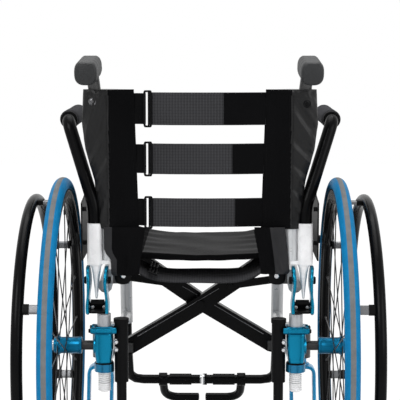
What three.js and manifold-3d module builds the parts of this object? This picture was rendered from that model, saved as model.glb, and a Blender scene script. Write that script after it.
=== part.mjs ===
// Active wheelchair with a folding cross brace, a folding back and swinging armrests.
// Millimetres. X points to the chair's right, Y forward and Z up, with Z zero on the floor.

import * as THREE from "three";
import { mergeVertices } from "three/addons/utils/BufferGeometryUtils.js";
import Module from "manifold-3d";

const wasm = await Module();
wasm.setup();

// Shared clearances and fine sizes
const gap = 0.3;
const runningGap = 0.4;
const overrun = 2;
const halfTurn = Math.PI;

// Rear wheels
const tyreRadius = 295;
const tyreSection = 25;
const tyreSeatShare = 0.77;
const wheelPlane = 240;
const rimWidth = 20;
const rimDepth = 21;
const rimNoseWidth = 11;
const handrimTube = 19.5;
const handrimInset = 29;
const handrimOuterRadius = tyreRadius - handrimInset;
const handrimPlane = 287;
const standoffCount = 6;
const standoffThickness = 8;
const standoffSink = 1;
const spokeCount = 18;
const spokeThickness = 2.6;
const spokeCrossingShare = 0.3;
const hubShellRadius = 14;
const hubFlangeRadius = 17.5;
const hubFlangeWidth = 5;
const hubInner = 210;
const hubOuter = 256;
const axleRadius = 6.35;
const axleSleeveRadius = 8;
const axleSleeveInner = 187;
const axlePocket = 5;
const axleCapRadius = 9;
const axleCapWidth = 4;
const buttonRadius = 3.5;
const buttonProud = 6;
const buttonTravel = 5;

// Rear upright and its clamp
const uprightX = 168;
const uprightRadius = 12;
const uprightTopRise = 56.7;
const uprightTop = tyreRadius + uprightTopRise;
const uprightBottomDrop = 42;
const uprightBottom = tyreRadius - uprightBottomDrop;
const plugRadius = 10;
const plugLength = 31;
const plugRibs = 7;
const plugGroove = 1.6;
const clampInner = 150.7;
const clampOuter = 182;
const clampTopRise = 35;
const clampTop = tyreRadius + clampTopRise;
const clampFlangeHeight = 12;
const clampBottomDrop = 24;
const clampBottom = tyreRadius - clampBottomDrop;
const clampRadius = 17;
const clampHalfDepth = 21;
const clampFlangeDepth = 17;
const clampBoltRadius = 6;
const clampBoltHead = 4;
const receiverRadius = 16;
const receiverEnd = 186.7;

// Side frame tubes
const frameTubeRadius = 12.5;
const lowerTubeRadius = 10;
const seatTubeStart = 34.3;
const seatTubeRearRise = 99;
const seatTubeRear = tyreRadius + seatTubeRearRise;
const seatSlope = 0.0667;
const seatTubeTaper = 360;
const frontX = 156;
const frontCornerY = 418;
const frontFootY = 452;
const frontFootDrop = 55;
const frontFoot = tyreRadius - frontFootDrop;
const frontBend = 55;
const lowerTubeHeightDrop = 38;
const lowerTubeHeight = tyreRadius - lowerTubeHeightDrop;
const collarRadius = 17.5;
const collarHeight = 16;
const collarSocket = 18;
const saddlePlaces = [60, 320];
const saddleWidth = 24;

// Folding hinge of the back
const plateInner = 158;
const plateInnerThickness = 9;
const plateOuter = 191;
const plateOuterThickness = 8;
const pivotHeightRise = 116;
const pivotHeight = tyreRadius + pivotHeightRise;
const plateHeadRadius = 26;
const plateFootHalf = 20;
const plateBottomDrop = 59;
const plateBottom = pivotHeight - plateBottomDrop;
const plateFootHeight = 9.5;
const plateBlockTopDrop = 13;
const plateBlockTop = pivotHeight - plateBlockTopDrop;
const plateBlockStart = 14;
const plateBlockEnd = 30;
const pivotBoltRadius = 4;
const pivotHeadRadius = 7;
const pivotHeadHeight = 3.2;
const latchRadius = 5.6;
const latchDrop = 40;
const tongueInner = 170;
const tongueThickness = 20;
const tongueHalfDepth = 10;
const tongueTail = 32;
const postX = 183;
const postRadius = 13.5;
const postBottomRise = 28.3;
const postBottom = pivotHeight + postBottomRise;
const postTopRise = 101;
const postTop = pivotHeight + postTopRise;
const caneFootX = 158.4;
const caneFootRise = 36.3;
const caneFoot = pivotHeight + caneFootRise;
const caneSocketDepth = 11;
const caneSocketInner = 149;

// Back canes, grips and upholstery
const caneRadius = 10.8;
const caneStraightRise = 145;
const caneStraight = pivotHeight + caneStraightRise;
const caneTopX = 184;
const caneTopY = -16;
const gripHeightRise = 368;
const gripHeight = pivotHeight + gripHeightRise;
const caneBend = 34;
const caneStub = 52;
const gripLength = 108;
const gripWidth = 42;
const gripRise = 47;
const gripCorner = 14;
const panelTopRise = 333;
const panelTop = pivotHeight + panelTopRise;
const panelBottomRise = 92;
const panelBottom = pivotHeight + panelBottomRise;
const panelHemRadius = 15.2;
const panelEdge = 3;
const panelOuterTop = 199.5;
const panelOuterHigh = 203;
const panelOuterLow = 178;
const panelOuterBottom = 172;
const panelInnerTop = 113;
const panelInnerBottom = 106;
const panelBendShare = 0.22;
const panelHighShare = 0.76;
const panelLowShare = 0.34;
const strapThickness = 4;
const strapBow = 9;
const strapUpperDrop = 5;
const strapMiddleDrop = 93;
const strapLowerRise = 53;
const strapTops = [panelTop - strapUpperDrop, panelTop - strapMiddleDrop, panelBottom + strapLowerRise];
const strapHeights = [56, 53, 50];

// Armrests
const armTubeRadius = 12.5;
const armKneeRise = 129;
const armKnee = pivotHeight + armKneeRise;
const armShoulderX = 227;
const armHeightRise = 280;
const armHeight = pivotHeight + armHeightRise;
const armKneeBend = 70;
const armShoulderBend = 26;
const armForward = 30;
const armPadStart = 54;
const armPadLength = 182;
const armPadRadius = 20;
const armPadWall = 7;
const armPadTip = 12;

// Side guards
const guardX = 203.2;
const guardThickness = 2.6;
const guardBottomRise = 36;
const guardBottom = pivotHeight + guardBottomRise;
const guardTopRise = 173;
const guardTop = pivotHeight + guardTopRise;
const guardRear = -12;
const guardReach = 250;
const guardShoulder = 120;
const guardStep = 72;
const guardNotch = 48;
const guardNotchTopRise = 143;
const guardNotchTop = pivotHeight + guardNotchTopRise;
const guardRearTopRise = 137;
const guardRearTop = pivotHeight + guardRearTopRise;
const guardScrewRadius = 4;
const guardScrewRises = [30, 89];
const guardScrews = guardScrewRises.map((rise) => guardBottom + rise);

// Cross brace, seat rails and links
const braceY = 165;
const braceDepth = 20;
const braceHeight = 30;
const braceEyeRadius = 14.2;
const bracePitch = 22;
const lowerPivotX = 135;
const lowerPivotZDrop = 40;
const lowerPivotZ = tyreRadius - lowerPivotZDrop;
const braceCentreZRise = 41;
const braceCentreZ = tyreRadius + braceCentreZRise;
const railX = 136;
const railRadius = 11;
const railRear = 24;
const railFront = 372;
const railRearZRise = 137;
const railRearZ = tyreRadius + railRearZRise;
const railSlope = 0.03;
const railPlugRadius = 9;
const railPlug = 3;
const railWeldInset = 5;
const railWeldDrop = 10;
const pivotPinRadius = 5;
const lugThickness = 5;
const lugOverlap = 8;
const centreBoltRadius = 5;
const centreHeadRadius = 9;
const centreHeadHeight = 5;
const linkInnerX = 54;
const linkOuterX = 150;
const linkOuterZRise = 92;
const linkOuterZ = tyreRadius + linkOuterZRise;
const linkThickness = 4;
const linkHalfHeight = 7;
const linkBossRadius = 7;
const linkPinRadius = 4;
const linkPinHead = 6;
const linkBoltRadius = 4.5;

// Seat upholstery
const slingRear = 82;
const slingFront = 366;
const slingThickness = 3;
const slingSag = 10;
const slingHang = 8;
const slingWrapGap = 0.6;

// Casters
const casterX = 204;
const casterY = 362;
const casterRadius = 52;
const casterWidth = 26;
const casterTrail = 42;
const casterAxleRadius = 4;
const forkTopDrop = 108;
const forkTop = tyreRadius - forkTopDrop;
const forkBottomDrop = 143;
const forkBottom = tyreRadius - forkBottomDrop;
const forkHalfWidth = 27;
const forkLeg = 8;
const forkCrownRadius = 17;
const forkFootRadius = 12;
const stemRadius = 8;
const stemTopDrop = 59;
const stemTop = tyreRadius - stemTopDrop;
const barrelRadius = 16;
const barrelTopDrop = 45;
const barrelTop = tyreRadius - barrelTopDrop;
const barrelCap = 4;
const barrelArmHeight = 20;

// Wheel locks
const lockBaseY = 318;
const lockBaseLength = 32;
const lockBaseHeight = 34;
const lockBaseOuter = 196;
const lockPivotY = 318;
const lockPivotZRise = 103;
const lockPivotZ = tyreRadius + lockPivotZRise;
const lockPlate = 6;
const lockShoeY = 284;
const lockShoeZRise = 145;
const lockShoeZ = tyreRadius + lockShoeZRise;
const lockShoeRadius = 8;
const lockShoeReach = 252;
const lockHandleY = 352;
const lockHandleZRise = 175;
const lockHandleZ = tyreRadius + lockHandleZRise;
const lockHandleLength = 62;
const lockHandleRadius = 7;
const lockArmRadius = 9;
const lockPinRadius = 4;
const lockPinHead = 3;

// Anti-tip supports
const tipX = 137.9;
const tipY = 0;
const tipSleeveRadius = 12.3;
const tipSleeveTopRise = 43;
const tipSleeveTop = tyreRadius + tipSleeveTopRise;
const tipSleeveBottomDrop = 65;
const tipSleeveBottom = tyreRadius - tipSleeveBottomDrop;
const tipCapRadius = 13.6;
const tipCapHeight = 5;
const tipTubeRadius = 9;
const tipKnee = 100;
const tipReach = 186;
const tipFoot = 52;
const tipBend = 32;
const tipWheelRadius = 26;
const tipWheelWidth = 18;
const tipForkHalf = 15;
const tipForkLeg = 4;
const tipAxleRadius = 3.5;

// Legrests and foot loops
const legRadius = 10;
const legStart = 0.5;
const legKneeDrop = 97;
const legKnee = tyreRadius - legKneeDrop;
const footBarY = 536;
const footBarZ = 96;
const legBend = 26;
const barBend = 30;
const barTip = 1.2;
const couplerRadius = 12.6;
const couplerLength = 9;
const gripRingStart = 23;
const gripRingEnd = 70;
const gripRingRadius = 12.4;
const loopX = 82;
const loopSleeve = 18;
const loopSleeveRadius = 14;
const loopTubeRadius = 6.5;
const loopDrop = 30;
const loopReach = 52;
const loopTip = 12;
const loopBend = 24;

// Facets on the round pieces
const wheelFacets = 36;
const handrimFacets = 32;
const hoopSides = 7;
const tubeSides = 10;
const rodSides = 10;
const bendSteps = 3;

// Turns a closed geometry into a solid that can be joined and cut.
function solidOf(geometry) {
  const bare = geometry.clone();
  bare.deleteAttribute("normal");
  bare.deleteAttribute("uv");
  const merged = mergeVertices(bare, gap / 1000);
  const mesh = new wasm.Mesh({
    numProp: 3,
    vertProperties: new Float32Array(merged.attributes.position.array),
    triVerts: new Uint32Array(merged.index.array),
  });
  return new wasm.Manifold(mesh);
}

// Turns a solid back into a geometry.
function geometryOf(solid) {
  const mesh = solid.getMesh();
  const geometry = new THREE.BufferGeometry();
  geometry.setAttribute("position", new THREE.BufferAttribute(mesh.vertProperties, 3));
  geometry.setIndex(new THREE.BufferAttribute(mesh.triVerts, 1));
  geometry.computeVertexNormals();
  return geometry;
}

// Joins several geometries into one welded piece.
function weld(...geometries) {
  return geometryOf(geometries.map(solidOf).reduce((whole, next) => whole.add(next)));
}

// Cuts several geometries out of a piece.
function carve(geometry, ...tools) {
  return geometryOf(tools.map(solidOf).reduce((left, tool) => left.subtract(tool), solidOf(geometry)));
}

// Mirrors a geometry from the right side of the chair to the left.
function mirrored(geometry) {
  const flipped = mergeVertices(geometry.clone().deleteAttribute("uv").deleteAttribute("normal"), gap / 1000);
  flipped.applyMatrix4(new THREE.Matrix4().makeScale(-1, 1, 1));
  const index = flipped.index.array;
  for (let i = 0; i < index.length; i += 3) {
    [index[i + 1], index[i + 2]] = [index[i + 2], index[i + 1]];
  }
  flipped.computeVertexNormals();
  return flipped;
}

// A path that visits given stations evenly by number, so straight runs need no steps.
class StationPath extends THREE.Curve {
  constructor(stations) {
    super();
    this.stations = stations;
  }

  // The station nearest to a share of the way along.
  stationAt(share) {
    return this.stations[Math.round(share * (this.stations.length - 1))];
  }

  getPointAt(share) {
    return this.stationAt(share).point.clone();
  }

  getTangentAt(share) {
    return this.stationAt(share).tangent.clone();
  }
}

// Stations of a polyline whose corners are rounded to a bend radius.
function bentStations(corners, bendRadii) {
  const points = corners.map((corner) => new THREE.Vector3(...corner));
  const heading = (from, to) => to.clone().sub(from).normalize();
  const stations = [{ point: points[0], tangent: heading(points[0], points[1]) }];
  for (let i = 1; i < points.length - 1; i += 1) {
    const before = heading(points[i - 1], points[i]);
    const after = heading(points[i], points[i + 1]);
    const setback = bendRadii[i - 1] * Math.tan(before.angleTo(after) / 2);
    const start = points[i].clone().addScaledVector(before, -setback);
    const end = points[i].clone().addScaledVector(after, setback);
    const bend = new THREE.QuadraticBezierCurve3(start, points[i], end);
    for (let step = 0; step <= bendSteps; step += 1) {
      const share = step / bendSteps;
      stations.push({ point: bend.getPoint(share), tangent: bend.getTangent(share) });
    }
  }
  const last = points.length - 1;
  stations.push({ point: points[last], tangent: heading(points[last - 1], points[last]) });
  return stations;
}

// A round tube with closed ends that follows rounded corners.
function bentTube(corners, bendRadii, radius, sides = tubeSides) {
  const path = new StationPath(bentStations(corners, bendRadii));
  const outline = new THREE.Shape().absarc(0, 0, radius, 0, 2 * halfTurn);
  const options = { steps: path.stations.length - 1, extrudePath: path, curveSegments: sides / 2 };
  return new THREE.ExtrudeGeometry(outline, options);
}

// A cutting tool for a round hole that clears a pin of the given radius.
function hole(from, to, pinRadius, sides = 12) {
  return rod(from, to, (pinRadius + gap) / Math.cos(halfTurn / sides), sides);
}

// A round rod from one point to another.
function rod(from, to, radius, sides = rodSides) {
  const start = new THREE.Vector3(...from);
  const end = new THREE.Vector3(...to);
  const along = end.clone().sub(start);
  const geometry = new THREE.CylinderGeometry(radius, radius, along.length(), sides);
  const turn = new THREE.Quaternion().setFromUnitVectors(new THREE.Vector3(0, 1, 0), along.clone().normalize());
  geometry.applyQuaternion(turn);
  const middle = start.add(end).multiplyScalar(1 / 2);
  return geometry.translate(middle.x, middle.y, middle.z);
}

// A box between two corners.
function block(low, high) {
  const size = high.map((value, axis) => value - low[axis]);
  const middle = high.map((value, axis) => (value + low[axis]) / 2);
  return new THREE.BoxGeometry(...size).translate(...middle);
}

// A plate of even thickness in the YZ plane, from an outline drawn as (y, z).
function sidePlate(outline, innerX, thickness) {
  const plate = new THREE.ExtrudeGeometry(outline, { depth: thickness, bevelEnabled: false, curveSegments: 3 });
  plate.applyMatrix4(new THREE.Matrix4().set(0, 0, 1, 0, 1, 0, 0, 0, 0, 1, 0, 0, 0, 0, 0, 1));
  return plate.translate(innerX, 0, 0);
}

// The outline of a bar with round ends of two radii, drawn as (a, b) points.
function roundBar(start, startRadius, end, endRadius) {
  const angle = Math.atan2(end[1] - start[1], end[0] - start[0]);
  const outline = new THREE.Shape();
  outline.absarc(start[0], start[1], startRadius, angle + halfTurn / 2, angle + halfTurn * 3 / 2);
  outline.absarc(end[0], end[1], endRadius, angle - halfTurn / 2, angle + halfTurn / 2);
  return outline;
}

// A turned body round the X axis, from (radius, x) points, with its flats at the given radii.
function turnedX(profile, facets) {
  const spread = 1 / Math.cos(halfTurn / facets);
  const points = profile.map(([radius, x]) => new THREE.Vector2(radius * spread, x));
  return new THREE.LatheGeometry(points, facets, halfTurn / facets).rotateZ(-halfTurn / 2);
}

// A turned body round the Z axis, from a profile of (radius, z) points.
function turnedZ(profile, facets) {
  const points = profile.map(([radius, z]) => new THREE.Vector2(radius, z));
  return new THREE.LatheGeometry(points, facets).rotateX(halfTurn / 2);
}

// A closed skin through rings of equal point counts, with flat ends.
function loft(rings) {
  const count = rings[0].length;
  const positions = rings.flat(2);
  const index = [];
  for (let ring = 0; ring < rings.length - 1; ring += 1) {
    for (let i = 0; i < count; i += 1) {
      const here = ring * count + i;
      const next = ring * count + ((i + 1) % count);
      index.push(here, next, next + count, here, next + count, here + count);
    }
  }
  const ends = [[0, rings[0], true], [(rings.length - 1) * count, rings.at(-1), false]];
  for (const [offset, ring, reversed] of ends) {
    for (const [a, b, c] of capTriangles(ring)) {
      index.push(offset + a, offset + (reversed ? c : b), offset + (reversed ? b : c));
    }
  }
  const geometry = new THREE.BufferGeometry();
  geometry.setAttribute("position", new THREE.Float32BufferAttribute(positions, 3));
  geometry.setIndex(index);
  geometry.computeVertexNormals();
  return geometry;
}

// Triangles that fill a flat ring, in the ring's own turning sense.
function capTriangles(ring) {
  const points = ring.map((point) => new THREE.Vector3(...point));
  const normal = new THREE.Vector3();
  points.forEach((point, i) => normal.add(point.clone().cross(points[(i + 1) % points.length])));
  const turn = new THREE.Quaternion().setFromUnitVectors(normal.normalize(), new THREE.Vector3(0, 0, 1));
  const flat = points.map((point) => point.applyQuaternion(turn)).map(({ x, y }) => new THREE.Vector2(x, y));
  return THREE.ShapeUtils.triangulateShape(flat, []);
}

// Height of the seat tube's centre line above the floor at a place along the chair.
function seatTubeZ(y) {
  return seatTubeRear + (y - seatTubeStart) * seatSlope;
}

// Height of the seat rail's centre line.
function railZ(y) {
  return railRearZ + (y - railRear) * railSlope;
}

// The tyre's section: where its arc is centred, its flat seat and the angle that the arc spans.
function tyreShape() {
  const section = tyreSection / 2;
  const seat = section * tyreSeatShare;
  const seatHalf = Math.sqrt(section ** 2 - seat ** 2);
  const start = Math.atan2(seatHalf, -seat);
  const centre = tyreRadius - section * Math.cos(start / hoopSides);
  return { section, seatHalf, start, centre, seatRadius: centre - seat };
}

// Tyre: a round hoop with a flat seat, on the wheel's own axis.
function tyre() {
  const { section, seatHalf, start, centre, seatRadius } = tyreShape();
  const profile = [[seatRadius, -seatHalf], [seatRadius, seatHalf]];
  for (let i = 1; i < hoopSides; i += 1) {
    const angle = start - (i / hoopSides) * 2 * start;
    profile.push([centre + section * Math.cos(angle), section * Math.sin(angle)]);
  }
  profile.push(profile[0]);
  return turnedX(profile.reverse(), wheelFacets);
}

// Rim: a deep channel under the tyre.
function rim() {
  const outer = tyreShape().seatRadius - gap;
  const shoulder = outer - rimDepth / 2;
  const half = rimWidth / 2;
  const nose = rimNoseWidth / 2;
  const profile = [[outer, -half], [shoulder, -half], [outer - rimDepth, -nose],
    [outer - rimDepth, nose], [shoulder, half], [outer, half], [outer, -half]];
  return turnedX(profile.reverse(), wheelFacets);
}

// Handrim: a round hoop outboard of the rim, with its standoffs.
function handrim() {
  const radius = handrimTube / 2;
  const centre = handrimOuterRadius - radius;
  const profile = [];
  for (let i = 0; i < hoopSides; i += 1) {
    const angle = (i / hoopSides) * 2 * halfTurn;
    profile.push([centre + radius * Math.cos(angle), radius * Math.sin(angle)]);
  }
  profile.push(profile[0]);
  const parts = [turnedX(profile, handrimFacets)];
  const reach = handrimPlane - wheelPlane - rimWidth / 2 + standoffSink - gap;
  for (let i = 0; i < standoffCount; i += 1) {
    const angle = ((i + 1 / 2) / standoffCount) * 2 * halfTurn;
    const place = [Math.cos(angle) * centre, Math.sin(angle) * centre];
    parts.push(rod([-reach, ...place], [0, ...place], standoffThickness / 2, 6));
  }
  return weld(...parts);
}

// Hub: a spool with two flanges, a bore for the axle and crossing spokes out to the rim.
function hubWithSpokes() {
  const low = hubInner - wheelPlane;
  const high = hubOuter - wheelPlane;
  const bore = axleRadius + 2 * gap;
  const profile = [[bore, low], [hubFlangeRadius, low], [hubFlangeRadius, low + hubFlangeWidth],
    [hubShellRadius, low + hubFlangeWidth], [hubShellRadius, high - 2 * hubFlangeWidth],
    [hubFlangeRadius, high - 2 * hubFlangeWidth], [hubFlangeRadius, high - hubFlangeWidth],
    [hubShellRadius, high - hubFlangeWidth], [hubShellRadius, high], [bore, high], [bore, low]];
  const parts = [turnedX(profile, 14)];
  const spokeEnd = tyreShape().seatRadius - rimDepth - 2 * gap;
  const flangeX = [low + hubFlangeWidth / 2, high - hubFlangeWidth * 3 / 2];
  const spokeFoot = hubFlangeRadius - spokeThickness;
  for (let i = 0; i < spokeCount; i += 1) {
    const outer = (i / spokeCount) * 2 * halfTurn;
    const inner = outer + (i % 4 < 2 ? spokeCrossingShare : -spokeCrossingShare) * halfTurn;
    const from = [flangeX[i % 2], Math.cos(inner) * spokeFoot, Math.sin(inner) * spokeFoot];
    parts.push(rod(from, [0, Math.cos(outer) * spokeEnd, Math.sin(outer) * spokeEnd], spokeThickness / 2, 3));
  }
  return weld(...parts);
}

// Quick-release axle: pin, spacing sleeve and outer cap with a pocket for the button.
function axlePin() {
  const pocket = buttonRadius + 2 * gap;
  const end = hubOuter + gap + axleCapWidth;
  const floor = hubOuter - axlePocket - buttonTravel;
  const sleeveEnd = hubInner - gap;
  const profile = [[0, receiverEnd - axlePocket], [axleRadius, receiverEnd - axlePocket],
    [axleRadius, axleSleeveInner], [axleSleeveRadius, axleSleeveInner], [axleSleeveRadius, sleeveEnd],
    [axleRadius, sleeveEnd], [axleRadius, hubOuter + gap], [axleCapRadius, hubOuter + gap],
    [axleCapRadius, end], [pocket, end], [pocket, floor], [0, floor]];
  return turnedX(profile, 12).translate(0, 0, tyreRadius);
}

// Release button in the axle's outer end.
function releaseButton() {
  const start = hubOuter - axlePocket + gap;
  const end = hubOuter + gap + axleCapWidth + buttonProud;
  const profile = [[0, start], [buttonRadius, start], [buttonRadius, end - gap * 2],
    [buttonRadius - gap * 2, end], [0, end]];
  return turnedX(profile, 10).translate(0, 0, tyreRadius);
}

// Rear upright with its ribbed plug below.
function rearUpright() {
  const profile = [[0, uprightBottom - plugLength], [plugRadius / 2, uprightBottom - plugLength]];
  const pitch = (plugLength - plugRadius / 2) / plugRibs;
  const ribStart = uprightBottom - plugLength + plugRadius / 2;
  for (let i = 0; i < plugRibs; i += 1) {
    const z = ribStart + i * pitch;
    profile.push([plugRadius, z], [plugRadius, z + pitch * 3 / 5], [plugRadius - plugGroove, z + pitch * 4 / 5]);
  }
  profile.push([uprightRadius, uprightBottom], [uprightRadius, uprightTop], [0, uprightTop]);
  return turnedZ(profile, 12).translate(uprightX, 0, 0);
}

// Clamp that holds the axle's receiver on the upright.
function axleClamp() {
  const bodyTop = clampTop - clampFlangeHeight;
  const body = rod([uprightX, 0, clampBottom], [uprightX, 0, bodyTop + overrun], clampRadius, 14);
  const wedge = block([uprightX, -clampRadius, clampBottom], [clampOuter, clampRadius, bodyTop]);
  const flange = block([clampInner, -clampFlangeDepth, bodyTop], [clampOuter, clampFlangeDepth, clampTop]);
  const boltZ = clampTop - clampFlangeHeight / 2;
  const bolts = [clampInner + clampBoltRadius, clampOuter - clampBoltRadius].map((x) => rod(
    [x, -clampHalfDepth - clampBoltHead, boltZ],
    [x, clampHalfDepth + clampBoltHead, boltZ],
    clampBoltRadius - gap,
    8,
  ));
  const receiver = rod([uprightX, 0, tyreRadius], [receiverEnd, 0, tyreRadius], receiverRadius, 14);
  const bore = hole([uprightX, 0, clampBottom - overrun], [uprightX, 0, clampTop + overrun], uprightRadius);
  const axleBore = hole(
    [receiverEnd - axlePocket - gap, 0, tyreRadius],
    [receiverEnd + overrun, 0, tyreRadius],
    axleRadius + gap,
  );
  return carve(weld(body, wedge, flange, receiver, ...bolts), bore, axleBore);
}

// Lug with a pivot pin for the lower end of a brace tube.
function pivotLugs(y) {
  const half = braceDepth / 2 + runningGap;
  const tubeX = lowerTubeX(y);
  const lugs = [-1, 1].map((side) => block(
    [lowerPivotX - pivotPinRadius - lugOverlap / 2, y + side * (half + lugThickness / 2) - lugThickness / 2,
      lowerPivotZ - pivotPinRadius - lugOverlap / 2],
    [tubeX, y + side * (half + lugThickness / 2) + lugThickness / 2,
      lowerPivotZ + pivotPinRadius + lugOverlap / 2],
  ));
  const pin = rod(
    [lowerPivotX, y - half - lugThickness / 2, lowerPivotZ],
    [lowerPivotX, y + half + lugThickness / 2, lowerPivotZ],
    pivotPinRadius,
    10,
  );
  return [...lugs, pin];
}

// Side place of the lower tube's centre line, which runs in towards the front.
function lowerTubeX(y) {
  const share = (y - collarSocket - uprightRadius) / (frontFootY - collarSocket - uprightRadius);
  return uprightX + (frontX - uprightX) * share;
}

// Lug and headed pin for the outer end of a folding link.
function linkLug(linkRear) {
  const lugRear = linkRear - runningGap - lugThickness;
  const lug = block(
    [linkOuterX - linkBossRadius, lugRear, linkOuterZ - linkBossRadius],
    [uprightX - lugOverlap / 2, lugRear + lugThickness, linkOuterZ + linkBossRadius],
  );
  const linkFront = linkRear + linkThickness + runningGap;
  const pin = rod([linkOuterX, lugRear + gap, linkOuterZ], [linkOuterX, linkFront + gap, linkOuterZ], linkPinRadius);
  const head = rod([linkOuterX, linkFront, linkOuterZ], [linkOuterX, linkFront + lockPinHead, linkOuterZ], linkPinHead);
  return [lug, pin, head];
}

// Side frame: seat tube, front tube and lower tube, with saddles, lugs, caster barrel and lock base.
function sideFrame(pivotY, linkRear) {
  const seatCorner = seatTubeZ(frontCornerY);
  const seatTube = bentTube([
    [uprightX, seatTubeStart, seatTubeRear],
    [uprightX, seatTubeTaper, seatTubeZ(seatTubeTaper)],
    [frontX, frontCornerY, seatCorner],
    [frontX, frontFootY, frontFoot],
  ], [frontBend, frontBend / 2], frameTubeRadius, 12);
  const lowerStart = uprightRadius + collarSocket;
  const lowerTube = rod(
    [uprightX, lowerStart - lugOverlap, lowerTubeHeight],
    [frontX, frontFootY - overrun, lowerTubeHeight],
    lowerTubeRadius,
    12,
  );
  const collarLow = lowerTubeHeight - collarHeight / 2;
  const collar = rod([uprightX, 0, collarLow], [uprightX, 0, collarLow + collarHeight - overrun], collarRadius, 14);
  const socket = block(
    [uprightX - lowerTubeRadius - overrun, 0, collarLow],
    [uprightX + lowerTubeRadius + overrun, lowerStart, collarLow + collarHeight - overrun],
  );
  const collarBore = hole(
    [uprightX, 0, collarLow - overrun],
    [uprightX, 0, collarLow + collarHeight + overrun],
    uprightRadius,
  );
  const saddles = saddlePlaces.map((y) => {
    const top = railZ(y - saddleWidth / 2) - railRadius - runningGap;
    return block(
      [railX - railRadius + overrun, y - saddleWidth / 2, seatTubeZ(y)],
      [uprightX - lugOverlap / 2, y + saddleWidth / 2, top],
    );
  });
  const barrel = rod([casterX, casterY, forkTop + gap * 2], [casterX, casterY, barrelTop], barrelRadius, 12);
  const cap = rod([casterX, casterY, barrelTop - overrun], [casterX, casterY, barrelTop + barrelCap], stemRadius, 10);
  const arm = block(
    [lowerTubeX(casterY) - lugOverlap / 2, casterY - barrelRadius * 3 / 4, lowerTubeHeight - barrelArmHeight],
    [casterX, casterY + barrelRadius * 3 / 4, lowerTubeHeight],
  );
  const stemBore = hole([casterX, casterY, forkTop - overrun], [casterX, casterY, stemTop + gap * 2], stemRadius);
  const baseZ = seatTubeZ(lockBaseY);
  const lockBase = block(
    [uprightX, lockBaseY - lockBaseLength / 2, baseZ - lockBaseHeight + lowerTubeRadius],
    [lockBaseOuter, lockBaseY + lockBaseLength / 2, baseZ + lowerTubeRadius],
  );
  const lockEnd = lockBaseOuter + lockPlate + runningGap;
  const lockPin = rod(
    [lockBaseOuter - overrun, lockPivotY, lockPivotZ],
    [lockEnd + runningGap + gap, lockPivotY, lockPivotZ],
    lockPinRadius,
  );
  const lockHead = rod(
    [lockEnd + runningGap, lockPivotY, lockPivotZ],
    [lockEnd + runningGap + lockPinHead, lockPivotY, lockPivotZ],
    lockPinHead * 2,
  );
  const welded = weld(
    seatTube, lowerTube, collar, socket, ...saddles, barrel, cap, arm,
    ...pivotLugs(pivotY), ...linkLug(linkRear), lockBase, lockPin, lockHead,
  );
  return carve(welded, collarBore, stemBore);
}

// Hinge bracket: two plates, a foot socket on the upright and the pivot bolt of the back.
function hingeBracket() {
  const outline = new THREE.Shape();
  outline.moveTo(-plateFootHalf, plateBottom);
  outline.lineTo(plateFootHalf, plateBottom);
  outline.lineTo(plateHeadRadius, pivotHeight);
  outline.absarc(0, pivotHeight, plateHeadRadius, 0, halfTurn);
  outline.lineTo(-plateFootHalf, plateBottom);
  const inner = sidePlate(outline, plateInner, plateInnerThickness);
  const outer = sidePlate(outline, plateOuter, plateOuterThickness);
  const outerEnd = plateOuter + plateOuterThickness;
  const foot = block([plateInner, -plateFootHalf, plateBottom], [outerEnd, plateFootHalf, plateBottom + plateFootHeight]);
  const spacer = block(
    [plateInner, plateBlockStart, plateBottom],
    [outerEnd, plateBlockEnd, plateBlockTop],
  );
  const tubeFace = seatTubeStart - gap - frameTubeRadius * seatSlope;
  const boss = block(
    [uprightX - frameTubeRadius, plateBlockStart, seatTubeRear - frameTubeRadius],
    [uprightX + frameTubeRadius, tubeFace, plateBlockTop + overrun * 2],
  );
  const bolt = rod([plateInner - pivotHeadHeight, 0, pivotHeight], [outerEnd, 0, pivotHeight], pivotBoltRadius);
  const head = rod([outerEnd - gap, 0, pivotHeight], [outerEnd + pivotHeadHeight, 0, pivotHeight], pivotHeadRadius);
  const nut = rod([plateInner - pivotHeadHeight, 0, pivotHeight], [plateInner + gap, 0, pivotHeight], pivotHeadRadius, 6);
  return weld(inner, outer, foot, spacer, boss, bolt, head, nut);
}

// Latch bar between the plates, under the tongue's tail.
function latchBar() {
  const z = pivotHeight - latchDrop;
  return rod([plateInner + plateInnerThickness + gap, 0, z], [plateOuter - gap, 0, z], latchRadius, 12);
}

// Back post: a tongue between the hinge plates, a socket for the cane and the armrest's post.
function backPost() {
  const tongue = block(
    [tongueInner, -tongueHalfDepth, pivotHeight - tongueTail],
    [tongueInner + tongueThickness, tongueHalfDepth, postBottom + overrun],
  );
  const post = rod([postX, 0, postBottom], [postX, 0, postTop], postRadius, 14);
  const socket = block(
    [caneSocketInner, -caneRadius, caneFoot - gap - caneSocketDepth / 2],
    [postX, caneRadius, caneFoot - gap],
  );
  const bore = hole(
    [tongueInner - overrun, 0, pivotHeight],
    [tongueInner + tongueThickness + overrun, 0, pivotHeight],
    pivotBoltRadius,
  );
  return carve(weld(tongue, post, socket), bore);
}

// A round tube along the back cane's path, bent back at the top.
function canePath(radius, sides = tubeSides) {
  return bentTube([
    [caneFootX, 0, caneFoot],
    [caneFootX, 0, caneStraight],
    [caneTopX, caneTopY, gripHeight],
    [caneTopX, caneTopY - caneStub, gripHeight],
  ], [caneBend * 2, caneBend], radius, sides);
}

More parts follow.
